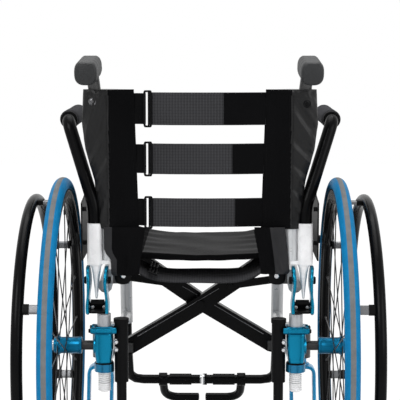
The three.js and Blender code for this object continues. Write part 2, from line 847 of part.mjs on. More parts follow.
// Push grip: a rounded block with a flat top, on the cane's stub.
function pushGrip() {
  const low = -gripRise / 2;
  const high = gripRise / 2;
  const half = gripWidth / 2;
  const outline = new THREE.Shape();
  outline.moveTo(-half + gripCorner, low);
  outline.lineTo(half - gripCorner, low);
  outline.quadraticCurveTo(half, low, half, low + gripCorner);
  outline.lineTo(half, high - gripCorner / 2);
  outline.quadraticCurveTo(half, high, half - gripCorner / 2, high);
  outline.lineTo(-half + gripCorner / 2, high);
  outline.quadraticCurveTo(-half, high, -half, high - gripCorner / 2);
  outline.lineTo(-half, low + gripCorner);
  outline.quadraticCurveTo(-half, low, -half + gripCorner, low);
  const grip = new THREE.ExtrudeGeometry(outline, { depth: gripLength, bevelEnabled: false, curveSegments: 3 });
  grip.rotateX(halfTurn / 2);
  return grip.translate(caneTopX, caneTopY - caneStub - gap, gripHeight);
}

// Place of the cane's centre line at a height.
function caneAt(z) {
  const share = Math.max(0, (z - caneStraight) / (gripHeight - caneStraight));
  return [caneFootX + (caneTopX - caneFootX) * share, caneTopY * share];
}

// Back panel: the fabric sleeve on one cane, thick at the cane and thin at its inner edge.
function backPanel() {
  const heightAt = (share) => panelBottom + (panelTop - panelBottom) * share;
  const levels = [[0, panelOuterBottom], [panelBendShare, panelOuterBottom], [panelLowShare, panelOuterLow],
    [panelHighShare, panelOuterHigh], [1, panelOuterTop]];
  const rings = levels.map(([share, outerX]) => {
    const z = heightAt(share);
    const [caneX, caneY] = caneAt(z);
    const innerX = panelInnerBottom + (panelInnerTop - panelInnerBottom) * share;
    const endX = Math.max(outerX, caneX + panelHemRadius) - panelHemRadius;
    const ring = [[innerX, caneY - panelEdge, z], [caneX - panelHemRadius, caneY - panelHemRadius, z]];
    for (let i = 0; i <= 4; i += 1) {
      const angle = -halfTurn / 2 + (i / 4) * halfTurn;
      ring.push([endX + panelHemRadius * Math.cos(angle), caneY + panelHemRadius * Math.sin(angle), z]);
    }
    ring.push([caneX - panelHemRadius, caneY + panelHemRadius, z], [innerX, caneY + panelEdge, z]);
    return ring;
  });
  const tunnel = canePath((caneRadius + 2 * gap) / Math.cos(halfTurn / 12), 12);
  const postRoom = hole([postX, 0, panelBottom - overrun], [postX, 0, armKnee + 2 * armTubeRadius], postRadius + 2 * gap);
  return carve(loft(rings), tunnel, postRoom);
}

// Inner edge of a back panel at a height.
function panelInnerX(z) {
  const share = (z - panelBottom) / (panelTop - panelBottom);
  return panelInnerBottom + (panelInnerTop - panelInnerBottom) * share;
}

// Back strap between the two panels, bowed a little to the rear.
function backStrap(top, height) {
  const rings = [];
  const steps = 8;
  const low = top - height;
  for (let i = 0; i <= steps; i += 1) {
    const share = -1 + (2 * i) / steps;
    const bow = -strapBow * (1 - share ** 2);
    const corner = (y, z) => [share * (panelInnerX(low) - gap), caneAt(z)[1] + bow + y, z];
    const half = strapThickness / 2;
    rings.push([corner(-half, low), corner(half, low), corner(half, top), corner(-half, top)]);
  }
  return loft(rings);
}

// Armrest tube: up from the post, outwards and then forward.
function armrestTube() {
  return bentTube([
    [postX, 0, postTop + gap],
    [postX, 0, armKnee],
    [armShoulderX, armForward, armHeight],
    [armShoulderX, armPadStart + armPadLength - armPadTip - gap, armHeight],
  ], [armKneeBend, armShoulderBend], armTubeRadius);
}

// Foam pad over the armrest's end.
function armrestPad() {
  const bore = (armTubeRadius + gap) / Math.cos(halfTurn / 12);
  const end = armPadLength;
  const profile = [[0, end - armPadTip], [bore, end - armPadTip], [bore, 0],
    [armPadRadius - armPadWall / 3, 0], [armPadRadius, armPadWall / 3], [armPadRadius, end - armPadWall],
    [armPadRadius - armPadWall, end], [0, end]];
  const points = profile.map(([radius, y]) => new THREE.Vector2(radius, y));
  return new THREE.LatheGeometry(points, 12).translate(armShoulderX, armPadStart, armHeight);
}

// Side guard: a thin plate on the back post, rounded so that it clears the lock when the back folds.
function sideGuard() {
  const topAngle = Math.asin((guardTop - pivotHeight - guardShoulder / 4) / guardReach);
  const bottomAngle = Math.asin((guardBottom - pivotHeight) / guardReach);
  const outline = new THREE.Shape();
  outline.moveTo(guardRear, guardRearTop);
  outline.lineTo(guardRear, guardBottom);
  outline.absarc(0, pivotHeight, guardReach, bottomAngle, topAngle);
  outline.quadraticCurveTo(guardShoulder, guardTop, guardStep, guardTop);
  outline.lineTo(guardNotch, guardNotchTop);
  const plate = sidePlate(outline, guardX, guardThickness);
  const screws = guardScrews.map((z) => rod(
    [postX + postRadius + gap, 0, z],
    [guardX + guardThickness + gap * 2, 0, z],
    guardScrewRadius,
    8,
  ));
  return weld(plate, ...screws);
}

// Brace tube from the left pivot to the right rail, with that rail.
function crossTube(y, withBolt, tubeNearer) {
  const angle = Math.atan2(braceCentreZ - lowerPivotZ, lowerPivotX);
  const midRailZ = railZ(y);
  const top = [railX - railWeldInset, midRailZ - railWeldDrop];
  const low = [-lowerPivotX, lowerPivotZ];
  const centre = [0, braceCentreZ];
  const half = braceHeight / 2;
  const bar = (from, to) => {
    const length = Math.hypot(to[0] - from[0], to[1] - from[1]);
    const box = new THREE.BoxGeometry(length, braceDepth, braceHeight);
    box.rotateY(-Math.atan2(to[1] - from[1], to[0] - from[0]));
    return box.translate((from[0] + to[0]) / 2, y, (from[1] + to[1]) / 2);
  };
  const eye = rod([low[0], y - braceDepth / 2, low[1]], [low[0], y + braceDepth / 2, low[1]], braceEyeRadius, 14);
  const rail = rod([railX, railRear, railZ(railRear)], [railX, railFront, railZ(railFront)], railRadius, 12);
  const plugs = [[railRear, -1], [railFront, 1]].map(([place, side]) => rod(
    [railX, place - side * railPlug, railZ(place)],
    [railX, place + side * railPlug, railZ(place)],
    railPlugRadius,
  ));
  const reachX = Math.cos(angle) * half;
  const joint = [centre[0] + reachX, centre[1] + Math.sin(angle) * half];
  const parts = [bar(low, joint), bar(centre, top), eye, rail, ...plugs];
  const pinBore = hole([low[0], y - braceDepth, low[1]], [low[0], y + braceDepth, low[1]], pivotPinRadius);
  if (withBolt) {
    const rear = y - braceDepth / 2 - centreHeadHeight;
    const front = tubeNearer + braceDepth / 2 + centreHeadHeight + runningGap;
    const bolt = rod([0, rear, braceCentreZ], [0, front, braceCentreZ], centreBoltRadius, 12);
    const head = rod([0, rear, braceCentreZ], [0, rear + centreHeadHeight + gap, braceCentreZ], centreHeadRadius, 6);
    const nut = rod([0, front - centreHeadHeight, braceCentreZ], [0, front, braceCentreZ], centreHeadRadius, 6);
    return carve(weld(...parts, bolt, head, nut), pinBore);
  }
  const bolt = hole([0, y - braceDepth, braceCentreZ], [0, y + braceDepth, braceCentreZ], centreBoltRadius);
  return carve(weld(...parts), pinBore, bolt);
}

// Folding link between a side frame and the upper arm of a brace tube.
function foldingLink(rear, armTop) {
  const share = linkInnerX / (railX - railWeldInset);
  const innerZ = braceCentreZ + (armTop - railWeldDrop - braceCentreZ) * share;
  const outline = roundBar([linkOuterX, linkOuterZ], linkBossRadius, [linkInnerX, innerZ], linkHalfHeight);
  const bar = new THREE.ExtrudeGeometry(outline, { depth: linkThickness, bevelEnabled: false, curveSegments: 3 });
  bar.rotateX(halfTurn / 2).translate(0, rear + linkThickness, 0);
  const head = rod(
    [linkInnerX, rear - linkThickness, innerZ],
    [linkInnerX, rear + gap, innerZ],
    linkBoltRadius,
    8,
  );
  const eye = hole(
    [linkOuterX, rear - linkThickness, linkOuterZ],
    [linkOuterX, rear + 2 * linkThickness, linkOuterZ],
    linkPinRadius,
  );
  return carve(weld(bar, head), eye);
}

// Seat sling: one sheet that wraps both rails and sags between them, with tension straps below.
function seatSling() {
  const wrap = railRadius + slingWrapGap;
  const outerWrap = wrap + slingThickness;
  const sectionAt = (y, sag) => {
    const base = railZ(y);
    const outside = [];
    const inside = [];
    const arcSteps = 4;
    outside.push([-railX - outerWrap, base - slingHang]);
    inside.push([-railX - wrap, base - slingHang]);
    for (let i = 0; i <= arcSteps; i += 1) {
      const angle = halfTurn - (i / arcSteps) * (halfTurn / 2);
      outside.push([-railX + outerWrap * Math.cos(angle), base + outerWrap * Math.sin(angle)]);
      inside.push([-railX + wrap * Math.cos(angle), base + wrap * Math.sin(angle)]);
    }
    const spans = 6;
    for (let i = 1; i < spans; i += 1) {
      const share = -1 + (2 * i) / spans;
      const dip = sag * (1 - share ** 2);
      outside.push([share * railX, base + outerWrap - dip]);
      inside.push([share * railX, base + wrap - dip]);
    }
    for (let i = 0; i <= arcSteps; i += 1) {
      const angle = halfTurn / 2 - (i / arcSteps) * (halfTurn / 2);
      outside.push([railX + outerWrap * Math.cos(angle), base + outerWrap * Math.sin(angle)]);
      inside.push([railX + wrap * Math.cos(angle), base + wrap * Math.sin(angle)]);
    }
    outside.push([railX + outerWrap, base - slingHang]);
    inside.push([railX + wrap, base - slingHang]);
    return outside.concat(inside.reverse()).map(([x, z]) => [x, y, z]);
  };
  const stations = [0, 1 / 5, 1 / 2, 4 / 5, 1].map((share) => {
    const edge = 1 + (2 * share - 1) ** 2 / 4;
    return sectionAt(slingRear + (slingFront - slingRear) * share, slingSag * edge);
  });
  return loft(stations);
}

// Caster fork: stem, crown, two raked legs and the wheel's axle.
function casterFork() {
  const crown = rod([0, 0, forkBottom], [0, 0, forkTop], forkCrownRadius, 12);
  const yoke = block([-forkHalfWidth, -forkCrownRadius, forkBottom], [forkHalfWidth, forkCrownRadius, forkTop - forkLeg]);
  const outline = roundBar([0, (forkBottom + forkTop - forkLeg) / 2], forkCrownRadius * 4 / 5,
    [-casterTrail, casterRadius], forkFootRadius);
  const legs = [-forkHalfWidth, forkHalfWidth - forkLeg].map((x) => sidePlate(outline, x, forkLeg));
  const stem = rod([0, 0, forkTop - overrun], [0, 0, stemTop], stemRadius, 12);
  const axle = rod(
    [-forkHalfWidth - overrun, -casterTrail, casterRadius],
    [forkHalfWidth + overrun, -casterTrail, casterRadius],
    casterAxleRadius,
  );
  return weld(crown, yoke, ...legs, stem, axle).translate(casterX, casterY, 0);
}

// Caster wheel with a rounded tread and a bore.
function casterWheel() {
  const half = casterWidth / 2;
  const bore = casterAxleRadius + gap;
  const tread = casterRadius - half / 2;
  const web = half / 2;
  const profile = [[bore, -half], [bore + half / 2, -half], [tread - half / 2, -web], [tread, -half + overrun],
    [casterRadius, -half / 2], [casterRadius, half / 2],
    [tread, half - overrun], [tread - half / 2, web], [bore + half / 2, half], [bore, half], [bore, -half]];
  return turnedX(profile, 20);
}

// Wheel lock lever: handle, pivot eye and the shoe that presses on the tyre.
function lockLever() {
  const pivot = [lockPivotY, lockPivotZ];
  const inner = lockBaseOuter + runningGap;
  const toShoe = sidePlate(roundBar(pivot, lockArmRadius, [lockShoeY, lockShoeZ], lockShoeRadius), inner, lockPlate);
  const toHandle = sidePlate(
    roundBar(pivot, lockArmRadius, [lockHandleY, lockHandleZ], lockHandleRadius),
    inner,
    lockPlate,
  );
  const shoe = rod([inner + gap, lockShoeY, lockShoeZ], [lockShoeReach, lockShoeY, lockShoeZ], lockShoeRadius, 12);
  const reach = Math.hypot(lockHandleY - lockPivotY, lockHandleZ - lockPivotZ);
  const along = [(lockHandleY - lockPivotY) / reach, (lockHandleZ - lockPivotZ) / reach];
  const middle = inner + lockPlate / 2;
  const handle = rod(
    [middle, lockHandleY - along[0] * lockArmRadius, lockHandleZ - along[1] * lockArmRadius],
    [middle, lockHandleY + along[0] * lockHandleLength, lockHandleZ + along[1] * lockHandleLength],
    lockHandleRadius - gap,
    10,
  );
  const bore = hole([inner - overrun, ...pivot], [inner + lockPlate + overrun, ...pivot], lockPinRadius);
  return carve(weld(toShoe, toHandle, shoe, handle), bore);
}

// Anti-tip sleeve with its cap, held beside the axle clamp.
function tipSleeve() {
  const sleeve = rod([tipX, tipY, tipSleeveBottom], [tipX, tipY, tipSleeveTop], tipSleeveRadius, 14);
  const cap = rod([tipX, tipY, tipSleeveTop - overrun], [tipX, tipY, tipSleeveTop + tipCapHeight], tipCapRadius, 14);
  return weld(sleeve, cap);
}

// Anti-tip tube: down from the sleeve and back to a small fork.
function tipTube() {
  const tube = bentTube([
    [tipX, tipY, tipSleeveBottom - gap],
    [tipX, tipY, tipKnee],
    [tipX, tipY - tipReach + tipWheelRadius + tipForkLeg, tipFoot],
  ], [tipBend], tipTubeRadius);
  const yokeY = tipY - tipReach + tipWheelRadius + tipForkLeg;
  const yoke = block(
    [tipX - tipForkHalf, yokeY - tipForkLeg / 2, tipFoot - tipTubeRadius],
    [tipX + tipForkHalf, yokeY + tipForkLeg, tipFoot + tipTubeRadius],
  );
  const legs = [-tipForkHalf, tipForkHalf - tipForkLeg].map((x) => block(
    [tipX + x, tipY - tipReach - tipTubeRadius, tipFoot - tipTubeRadius],
    [tipX + x + tipForkLeg, yokeY, tipFoot + tipTubeRadius],
  ));
  const axle = rod(
    [tipX - tipForkHalf, tipY - tipReach, tipFoot],
    [tipX + tipForkHalf, tipY - tipReach, tipFoot],
    tipAxleRadius,
    8,
  );
  return weld(tube, yoke, ...legs, axle);
}

// Anti-tip roller.
function tipRoller() {
  const half = tipWheelWidth / 2;
  const bore = tipAxleRadius + gap;
  const profile = [[bore, -half], [tipWheelRadius - overrun, -half], [tipWheelRadius, -half / 2],
    [tipWheelRadius, half / 2], [tipWheelRadius - overrun, half], [bore, half], [bore, -half]];
  return turnedX(profile, 18);
}

// Legrest: the tube in the front tube's foot, bent forward and in to half of the foot bar.
function legrest(withCoupler) {
  const lean = (frontFootY - frontCornerY) / (seatTubeZ(frontCornerY) - frontFoot);
  const axisY = (z) => frontFootY + (frontFoot - z) * lean;
  const tube = bentTube([
    [frontX, axisY(frontFoot - legStart), frontFoot - legStart],
    [frontX, axisY(legKnee), legKnee],
    [frontX, footBarY, footBarZ],
    [barTip, footBarY, footBarZ],
  ], [legBend, barBend], legRadius);
  const ring = rod([gripRingStart, footBarY, footBarZ], [gripRingEnd, footBarY, footBarZ], gripRingRadius, 12);
  if (!withCoupler) {
    return weld(tube, ring);
  }
  const coupler = rod([barTip, footBarY, footBarZ], [barTip + couplerLength, footBarY, footBarZ], couplerRadius, 12);
  return weld(tube, ring, coupler);
}

// Foot loop: a short sleeve on the foot bar with a tube that drops and curves to the middle.
function footLoop() {
  const half = loopSleeve / 2;
  const sleeve = rod([loopX - half, 0, 0], [loopX + half, 0, 0], loopSleeveRadius, 14);
  const bore = hole([loopX - loopSleeve, 0, 0], [loopX + loopSleeve, 0, 0], legRadius);
  const reach = loopSleeveRadius - overrun / 2;
  const tube = bentTube([
    [loopX, 0, -reach],
    [loopX, 0, -loopDrop],
    [loopX - loopBend, loopReach, -loopDrop - overrun],
    [loopTip, loopReach, -loopDrop - overrun],
  ], [loopBend / 2, loopBend], loopTubeRadius, 8);
  return carve(weld(sleeve, tube), bore).translate(0, footBarY, footBarZ);
}

// Finishes
const paint = (color, roughness, metalness) => new THREE.MeshStandardMaterial({ color, roughness, metalness });
const finishes = {
  silver: () => paint(0xb4b6b8, 0.35, 0.7),
  white: () => paint(0xe6e6e6, 0.3, 0.1),
  blue: () => paint(0x0078aa, 0.3, 0.8),
  black: () => paint(0x141416, 0.4, 0.2),
  rubber: () => paint(0x2c2c2e, 0.8, 0),
  foam: () => paint(0x4a4a4c, 0.9, 0),
  tyre: () => paint(0x1482cd, 0.7, 0),
  steel: () => paint(0xc8c8ca, 0.25, 0.9),
  nylon: () => paint(0x1c1c1e, 0.8, 0),
  webbing: () => paint(0x373737, 0.85, 0),
};

const chair = new THREE.Group();
const sides = { left: -1, right: 1 };

// Adds a piece to a group under its name.
function add(parent, name, geometry, finish, position = [0, 0, 0]) {
  const mesh = new THREE.Mesh(geometry, finishes[finish]());
  mesh.name = name;
  mesh.position.set(...position);
  parent.add(mesh);
  return mesh;
}

// Each brace tube hangs from the lug of one side, so the sides differ in where their lugs stand.
const braceRearY = braceY;
const braceFrontY = braceY + bracePitch;
const pivotPlaces = { left: braceRearY, right: braceFrontY };
const linkPlaces = {
  left: braceFrontY - braceDepth / 2 - runningGap - linkThickness,
  right: braceRearY - braceDepth / 2 - runningGap - linkThickness,
};

for (const [side, sign] of Object.entries(sides)) {
  const group = new THREE.Group();
  const turned = (geometry) => (sign < 0 ? mirrored(geometry) : geometry);
  const put = (name, geometry, finish, position) => add(
    group, `${name}_${side}`, turned(geometry), finish, position && [position[0] * sign, position[1], position[2]],
  );
  const linkRear = linkPlaces[side];
  put("side_frame", sideFrame(pivotPlaces[side], linkRear), "silver");
  put("rear_upright", rearUpright(), "silver");
  put("axle_clamp", axleClamp(), "blue");
  put("hinge_bracket", hingeBracket(), "blue");
  put("latch_bar", latchBar(), "black");
  put("back_post", backPost(), "white");
  put("back_cane", canePath(caneRadius), "silver");
  put("push_grip", pushGrip(), "rubber");
  put("back_panel", backPanel(), "nylon");
  put("side_guard", sideGuard(), "black");
  put("armrest_tube", armrestTube(), "black");
  put("armrest_pad", armrestPad(), "foam");
  put("axle_pin", axlePin(), "steel");
  put("release_button", releaseButton(), "steel");
  put("tyre", tyre(), "tyre", [wheelPlane, 0, tyreRadius]);
  put("rim", rim(), "black", [wheelPlane, 0, tyreRadius]);
  put("hub_with_spokes", hubWithSpokes(), "blue", [wheelPlane, 0, tyreRadius]);
  put("handrim", handrim(), "black", [handrimPlane, 0, tyreRadius]);
  put("caster_fork", casterFork(), "blue");
  put("caster_wheel", casterWheel(), "rubber", [casterX, casterY - casterTrail, casterRadius]);
  put("wheel_lock_lever", lockLever(), "black");
  put("antitip_sleeve", tipSleeve(), "black");
  put("antitip_tube", tipTube(), "silver");
  put("antitip_roller", tipRoller(), "rubber", [tipX, tipY - tipReach, tipFoot]);
  put("legrest", legrest(side === "right"), "black");
  put("foot_loop", footLoop(), "black");
  const armY = side === "left" ? braceFrontY : braceRearY;
  put("folding_link", foldingLink(linkRear, railZ(armY)), "black");
  chair.add(group);
}

const brace = new THREE.Group();
add(brace, "cross_tube_rear", crossTube(braceRearY, true, braceFrontY), "black");
add(brace, "cross_tube_front", mirrored(crossTube(braceFrontY, false, braceRearY)), "black");
chair.add(brace);

const cloth = new THREE.Group();
add(cloth, "seat_sling", seatSling(), "nylon");
strapTops.forEach((top, i) => {
  const names = ["upper", "middle", "lower"];
  add(cloth, `back_strap_${names[i]}`, backStrap(top, strapHeights[i]), "webbing");
});
chair.add(cloth);

// The origin lies on the floor under the middle of the whole length.
const rearEnd = -tyreRadius;
const frontEnd = footBarY + loopReach + loopTubeRadius;
chair.position.set(0, -(rearEnd + frontEnd) / 2, 0);
chair.updateMatrixWorld(true);

export default chair;
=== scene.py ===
"""Dressed model of an active wheelchair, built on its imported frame.

Sizes are written in millimetres: X to the chair's right, Y forward from the rear axle, Z up from
the floor. placed() turns them into metres in the frame of the CAD model.
"""

import logging
from dataclasses import dataclass
from enum import Enum

import bmesh
import bpy
import numpy as np
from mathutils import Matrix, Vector


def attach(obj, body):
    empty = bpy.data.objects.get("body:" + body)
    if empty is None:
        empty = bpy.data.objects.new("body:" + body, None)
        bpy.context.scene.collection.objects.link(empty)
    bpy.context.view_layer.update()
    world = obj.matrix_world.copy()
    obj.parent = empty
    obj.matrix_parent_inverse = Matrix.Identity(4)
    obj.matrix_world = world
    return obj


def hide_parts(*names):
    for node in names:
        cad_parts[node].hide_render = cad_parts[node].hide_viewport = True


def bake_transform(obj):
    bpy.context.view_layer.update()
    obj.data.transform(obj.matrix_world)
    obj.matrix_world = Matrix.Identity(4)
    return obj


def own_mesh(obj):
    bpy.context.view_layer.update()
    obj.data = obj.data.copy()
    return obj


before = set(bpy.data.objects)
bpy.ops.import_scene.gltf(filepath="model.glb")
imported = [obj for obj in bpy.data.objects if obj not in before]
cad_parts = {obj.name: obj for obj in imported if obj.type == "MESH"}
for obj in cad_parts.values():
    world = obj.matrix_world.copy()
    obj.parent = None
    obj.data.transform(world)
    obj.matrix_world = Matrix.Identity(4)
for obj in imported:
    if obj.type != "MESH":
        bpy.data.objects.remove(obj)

LOG = logging.getLogger("wheelchair")
SIDES = {"left": -1.0, "right": 1.0}
MM = 0.001
AXLE_Y = -0.14975
AXLE_HEIGHT = 295.0
CIRCLE = 2 * np.pi
SKIN_CREASE = np.radians(38)
NODE_CREASE = np.radians(42)
X_WAY, Y_WAY, Z_WAY = (1.0, 0.0, 0.0), (0.0, 1.0, 0.0), (0.0, 0.0, 1.0)

Point = tuple[float, float, float]
Colour = tuple[float, float, float, float]
Profile = list[tuple[float, float]]
Number = float | np.ndarray


# Surfaces


def placed(points: np.ndarray) -> np.ndarray:
    """Turns millimetres from the rear axle into metres in the frame.

    Args:
        points: array whose last axis holds the three coordinates.

    Returns:
        The points in the frame.
    """
    points = np.asarray(points, float) * MM
    points[..., 1] += AXLE_Y
    return points


def line(x: Number, y: Number, z: Number) -> np.ndarray:
    """Path or grid in the frame, from millimetres that broadcast together."""
    return placed(np.stack(np.broadcast_arrays(x, y, z), -1))


def bell(value: Number, middle: float, width: float) -> Number:
    """A bump of height 1 round a middle: e to the minus square of the distance over the width."""
    return np.exp(-(((value - middle) / width) ** 2))


def ring(sides: int, power: float = 2.0) -> np.ndarray:
    """Points of a superellipse of half size 1: cosine and sine raised to two over the power.

    Args:
        sides: number of points.
        power: how square the corners are, 2 for a circle.

    Returns:
        Section points in two coordinates.
    """
    angle = np.linspace(0, CIRCLE, sides, endpoint=False)
    wave = np.stack([np.cos(angle), np.sin(angle)], -1)
    return np.sign(wave) * np.abs(wave) ** (2 / power)


def circle(radius: Number, sides: int = 24) -> np.ndarray:
    """Circle of one radius, or a circle for each of several."""
    return np.asarray(radius, float)[..., None, None] * ring(sides)


def rounded_box(width: float, height: float, power: float = 4.0, sides: int = 48) -> np.ndarray:
    """Superellipse of a full width and height."""
    return ring(sides, power) * np.array([width, height]) / 2


def swept(path: np.ndarray, section: np.ndarray, reference: Point | np.ndarray) -> np.ndarray:
    """Carries a flat section along a path: each point is the path's point plus the section's first
    coordinate along the side vector and its second along the upper vector.

    Args:
        path: points of the path in the frame.
        section: points of the section in millimetres, the same or one for each path point.
        reference: a direction that the path never follows.

    Returns:
        Grid of points.
    """
    tangent = np.gradient(path, axis=0)
    tangent /= np.linalg.norm(tangent, axis=1, keepdims=True)
    side = np.cross(tangent, np.array(reference, float))
    side /= np.linalg.norm(side, axis=1, keepdims=True)
    upper = np.cross(side, tangent)
    rings = np.broadcast_to(section * MM, (len(path),) + section.shape[-2:])
    return path[:, None, :] + rings[..., :1] * side[:, None, :] + rings[..., 1:] * upper[:, None, :]


def bent_path(corners: list[Point], bends: list[float], steps: int = 10) -> np.ndarray:
    """A polyline whose corners are parabolas between points set back by the bend on each side.

    Args:
        corners: the polyline's corners.
        bends: bend radius at each inner corner.
        steps: points in each bend.

    Returns:
        Path points in the frame.
    """
    knots = np.array(corners, float)
    legs = np.diff(knots, axis=0)
    heading = legs / np.linalg.norm(legs, axis=1, keepdims=True)
    parts = [knots[:1]]
    share = np.linspace(0, 1, steps)[:, None]
    for place, bend in enumerate(bends):
        before, after, knot = heading[place], heading[place + 1], knots[place + 1]
        setback = bend * np.tan(np.arccos(np.clip(before @ after, -1, 1)) / 2)
        start, end = knot - before * setback, knot + after * setback
        parts.append((1 - share) ** 2 * start + 2 * share * (1 - share) * knot + share ** 2 * end)
    return placed(np.concatenate([*parts, knots[-1:]]))


def turned(profile: Profile, centre: Point, facets: int, axis: str = "x") -> np.ndarray:
    """A profile turned round an axis: the ring's points are radius times cosine and sine.

    Args:
        profile: pairs of radius and place along the axis.
        centre: the axis' origin.
        facets: points in a ring.
        axis: x, y or z.

    Returns:
        Grid of points in the frame.
    """
    angle = np.linspace(0, CIRCLE, facets, endpoint=False)
    radius, place = np.array(profile, float).T[..., None]
    across, along = radius * np.cos(angle), radius * np.sin(angle)
    order = {"x": (place, across, along), "y": (across, place, along),
             "z": (across, along, place)}[axis]
    return placed(np.stack(np.broadcast_arrays(*order), -1) + np.array(centre, float))


def arc(radius: float, place: float, size: float, start: float, end: float, count: int) -> Profile:
    """Profile points of an arc at even angles.

    Args:
        radius: the arc's middle, away from the axis.
        place: the arc's middle, along the axis.
        size: the arc's own radius.
        start: first angle in degrees.
        end: last angle in degrees.
        count: number of points.

    Returns:
        Pairs of radius and place.
    """
    angles = np.radians(np.linspace(start, end, count))
    return list(zip(radius + size * np.cos(angles), place + size * np.sin(angles)))


def both_ways(half: Profile, middle: Profile | None = None) -> Profile:
    """A closed profile that is alike on both sides of place 0.

    Args:
        half: points of the side with the higher places, ending next to the middle.
        middle: points between the two sides.

    Returns:
        The lower side, the middle, the upper side and the first point again.
    """
    lower = [(radius, -place) for radius, place in half]
    return [*lower, *(middle or []), *half[::-1], lower[0]]


def grid_faces(rows: int, columns: int, closed: bool) -> np.ndarray:
    """Quads of a grid, each from a point, its neighbour along the row and the two on the next row.

    Args:
        rows: number of rows of points.
        columns: number of points in a row.
        closed: joins the last point of a row to the first.

    Returns:
        Point numbers, four to a face.
    """
    row = np.arange(rows - 1)[:, None] * columns
    column = np.arange(columns if closed else columns - 1)[None, :]
    after = (column + 1) % columns
    quads = [row + column, row + after, row + columns + after, row + columns + column]
    return np.stack(quads, -1).reshape(-1, 4)


class Skin:
    """A mesh gathered from grid surfaces, which becomes one piece."""

    def __init__(self) -> None:
        """Starts with no points."""
        self.points: list[np.ndarray] = []
        self.faces: list[list[int]] = []
        self.count = 0

    def add(self, points: np.ndarray, closed: bool = True, caps: bool = True) -> "Skin":
        """Adds one grid surface.

        Args:
            points: array of rows, columns and three coordinates.
            closed: joins each row's ends.
            caps: closes the first and the last row of a closed surface.

        Returns:
            The skin itself.
        """
        rows, columns, _ = points.shape
        faces = (grid_faces(rows, columns, closed) + self.count).tolist()
        if closed and caps:
            last = self.count + (rows - 1) * columns
            faces.append(list(range(self.count, self.count + columns))[::-1])
            faces.append(list(range(last, last + columns)))
        self.points.append(points.reshape(-1, 3))
        self.faces.extend(faces)
        self.count += rows * columns
        return self

    def turn(self, profile: Profile, centre: Point, facets: int, axis: str = "x") -> "Skin":
        """Adds a turned profile."""
        return self.add(turned(profile, centre, facets, axis), caps=False)

    def tube(self, path: np.ndarray, section: np.ndarray, reference: Point | np.ndarray,
             side: float = 1.0) -> "Skin":
        """Adds a section carried along a path, mirrored where the side is -1."""
        return self.add(swept(path, section, reference) * np.array([side, 1.0, 1.0]))

    def piece(self, name: str, finish: str) -> bpy.types.Object:
        """Makes the Blender object, with its faces turned outwards and shaded smoothly.

        Args:
            name: the piece's name.
            finish: the finish's key.

        Returns:
            The new object.
        """
        mesh = bpy.data.meshes.new(name)
        mesh.from_pydata(np.concatenate(self.points).tolist(), [], self.faces)
        mesh.update()
        obj = bpy.data.objects.new(name, mesh)
        bpy.context.scene.collection.objects.link(obj)
        shell = bmesh.new()
        shell.from_mesh(mesh)
        bmesh.ops.remove_doubles(shell, verts=shell.verts, dist=1e-6)
        bmesh.ops.recalc_face_normals(shell, faces=shell.faces)
        shell.to_mesh(mesh)
        shell.free()
        mesh.materials.append(WARDROBE.get(finish))
        mesh.polygons.foreach_set("use_smooth", np.ones(len(mesh.polygons), bool))
        mesh.set_sharp_from_angle(angle=SKIN_CREASE)
        return obj

    def put(self, name: str, finish: str, body: str, slot: str, replaced: str = "") -> None:
        """Makes the piece and settles it on its body."""
        settle(self.piece(name, finish), body, replaced)


# Finishes


class Nodes:
    """Writes the nodes of one tree."""

    def __init__(self, tree: bpy.types.NodeTree) -> None:
        """Takes the tree."""
        self.tree = tree

    def fill(self, node: bpy.types.Node, inputs: dict) -> None:
        """Gives a node's inputs their values, or their links where the value is an output.

        Args:
            node: the node.
            inputs: input name or number to a value or an output.
        """
        for key, value in inputs.items():
            if isinstance(value, bpy.types.NodeSocket):
                self.tree.links.new(value, node.inputs[key])
            else:
                node.inputs[key].default_value = value

    def node(self, kind: str, inputs: dict | None = None, **settings: object) -> bpy.types.Node:
        """Adds a node.

        Args:
            kind: the node's type.
            inputs: input name or number to a value or an output.
            settings: the node's own properties.

        Returns:
            The node.
        """
        made = self.tree.nodes.new(kind)
        for key, value in settings.items():
            setattr(made, key, value)
        self.fill(made, inputs or {})
        return made

    def math(self, operation: str, *values: object) -> bpy.types.NodeSocket:
        """Adds a math node on numbers or outputs and returns its result."""
        return self.node("ShaderNodeMath", dict(enumerate(values)), operation=operation).outputs[0]


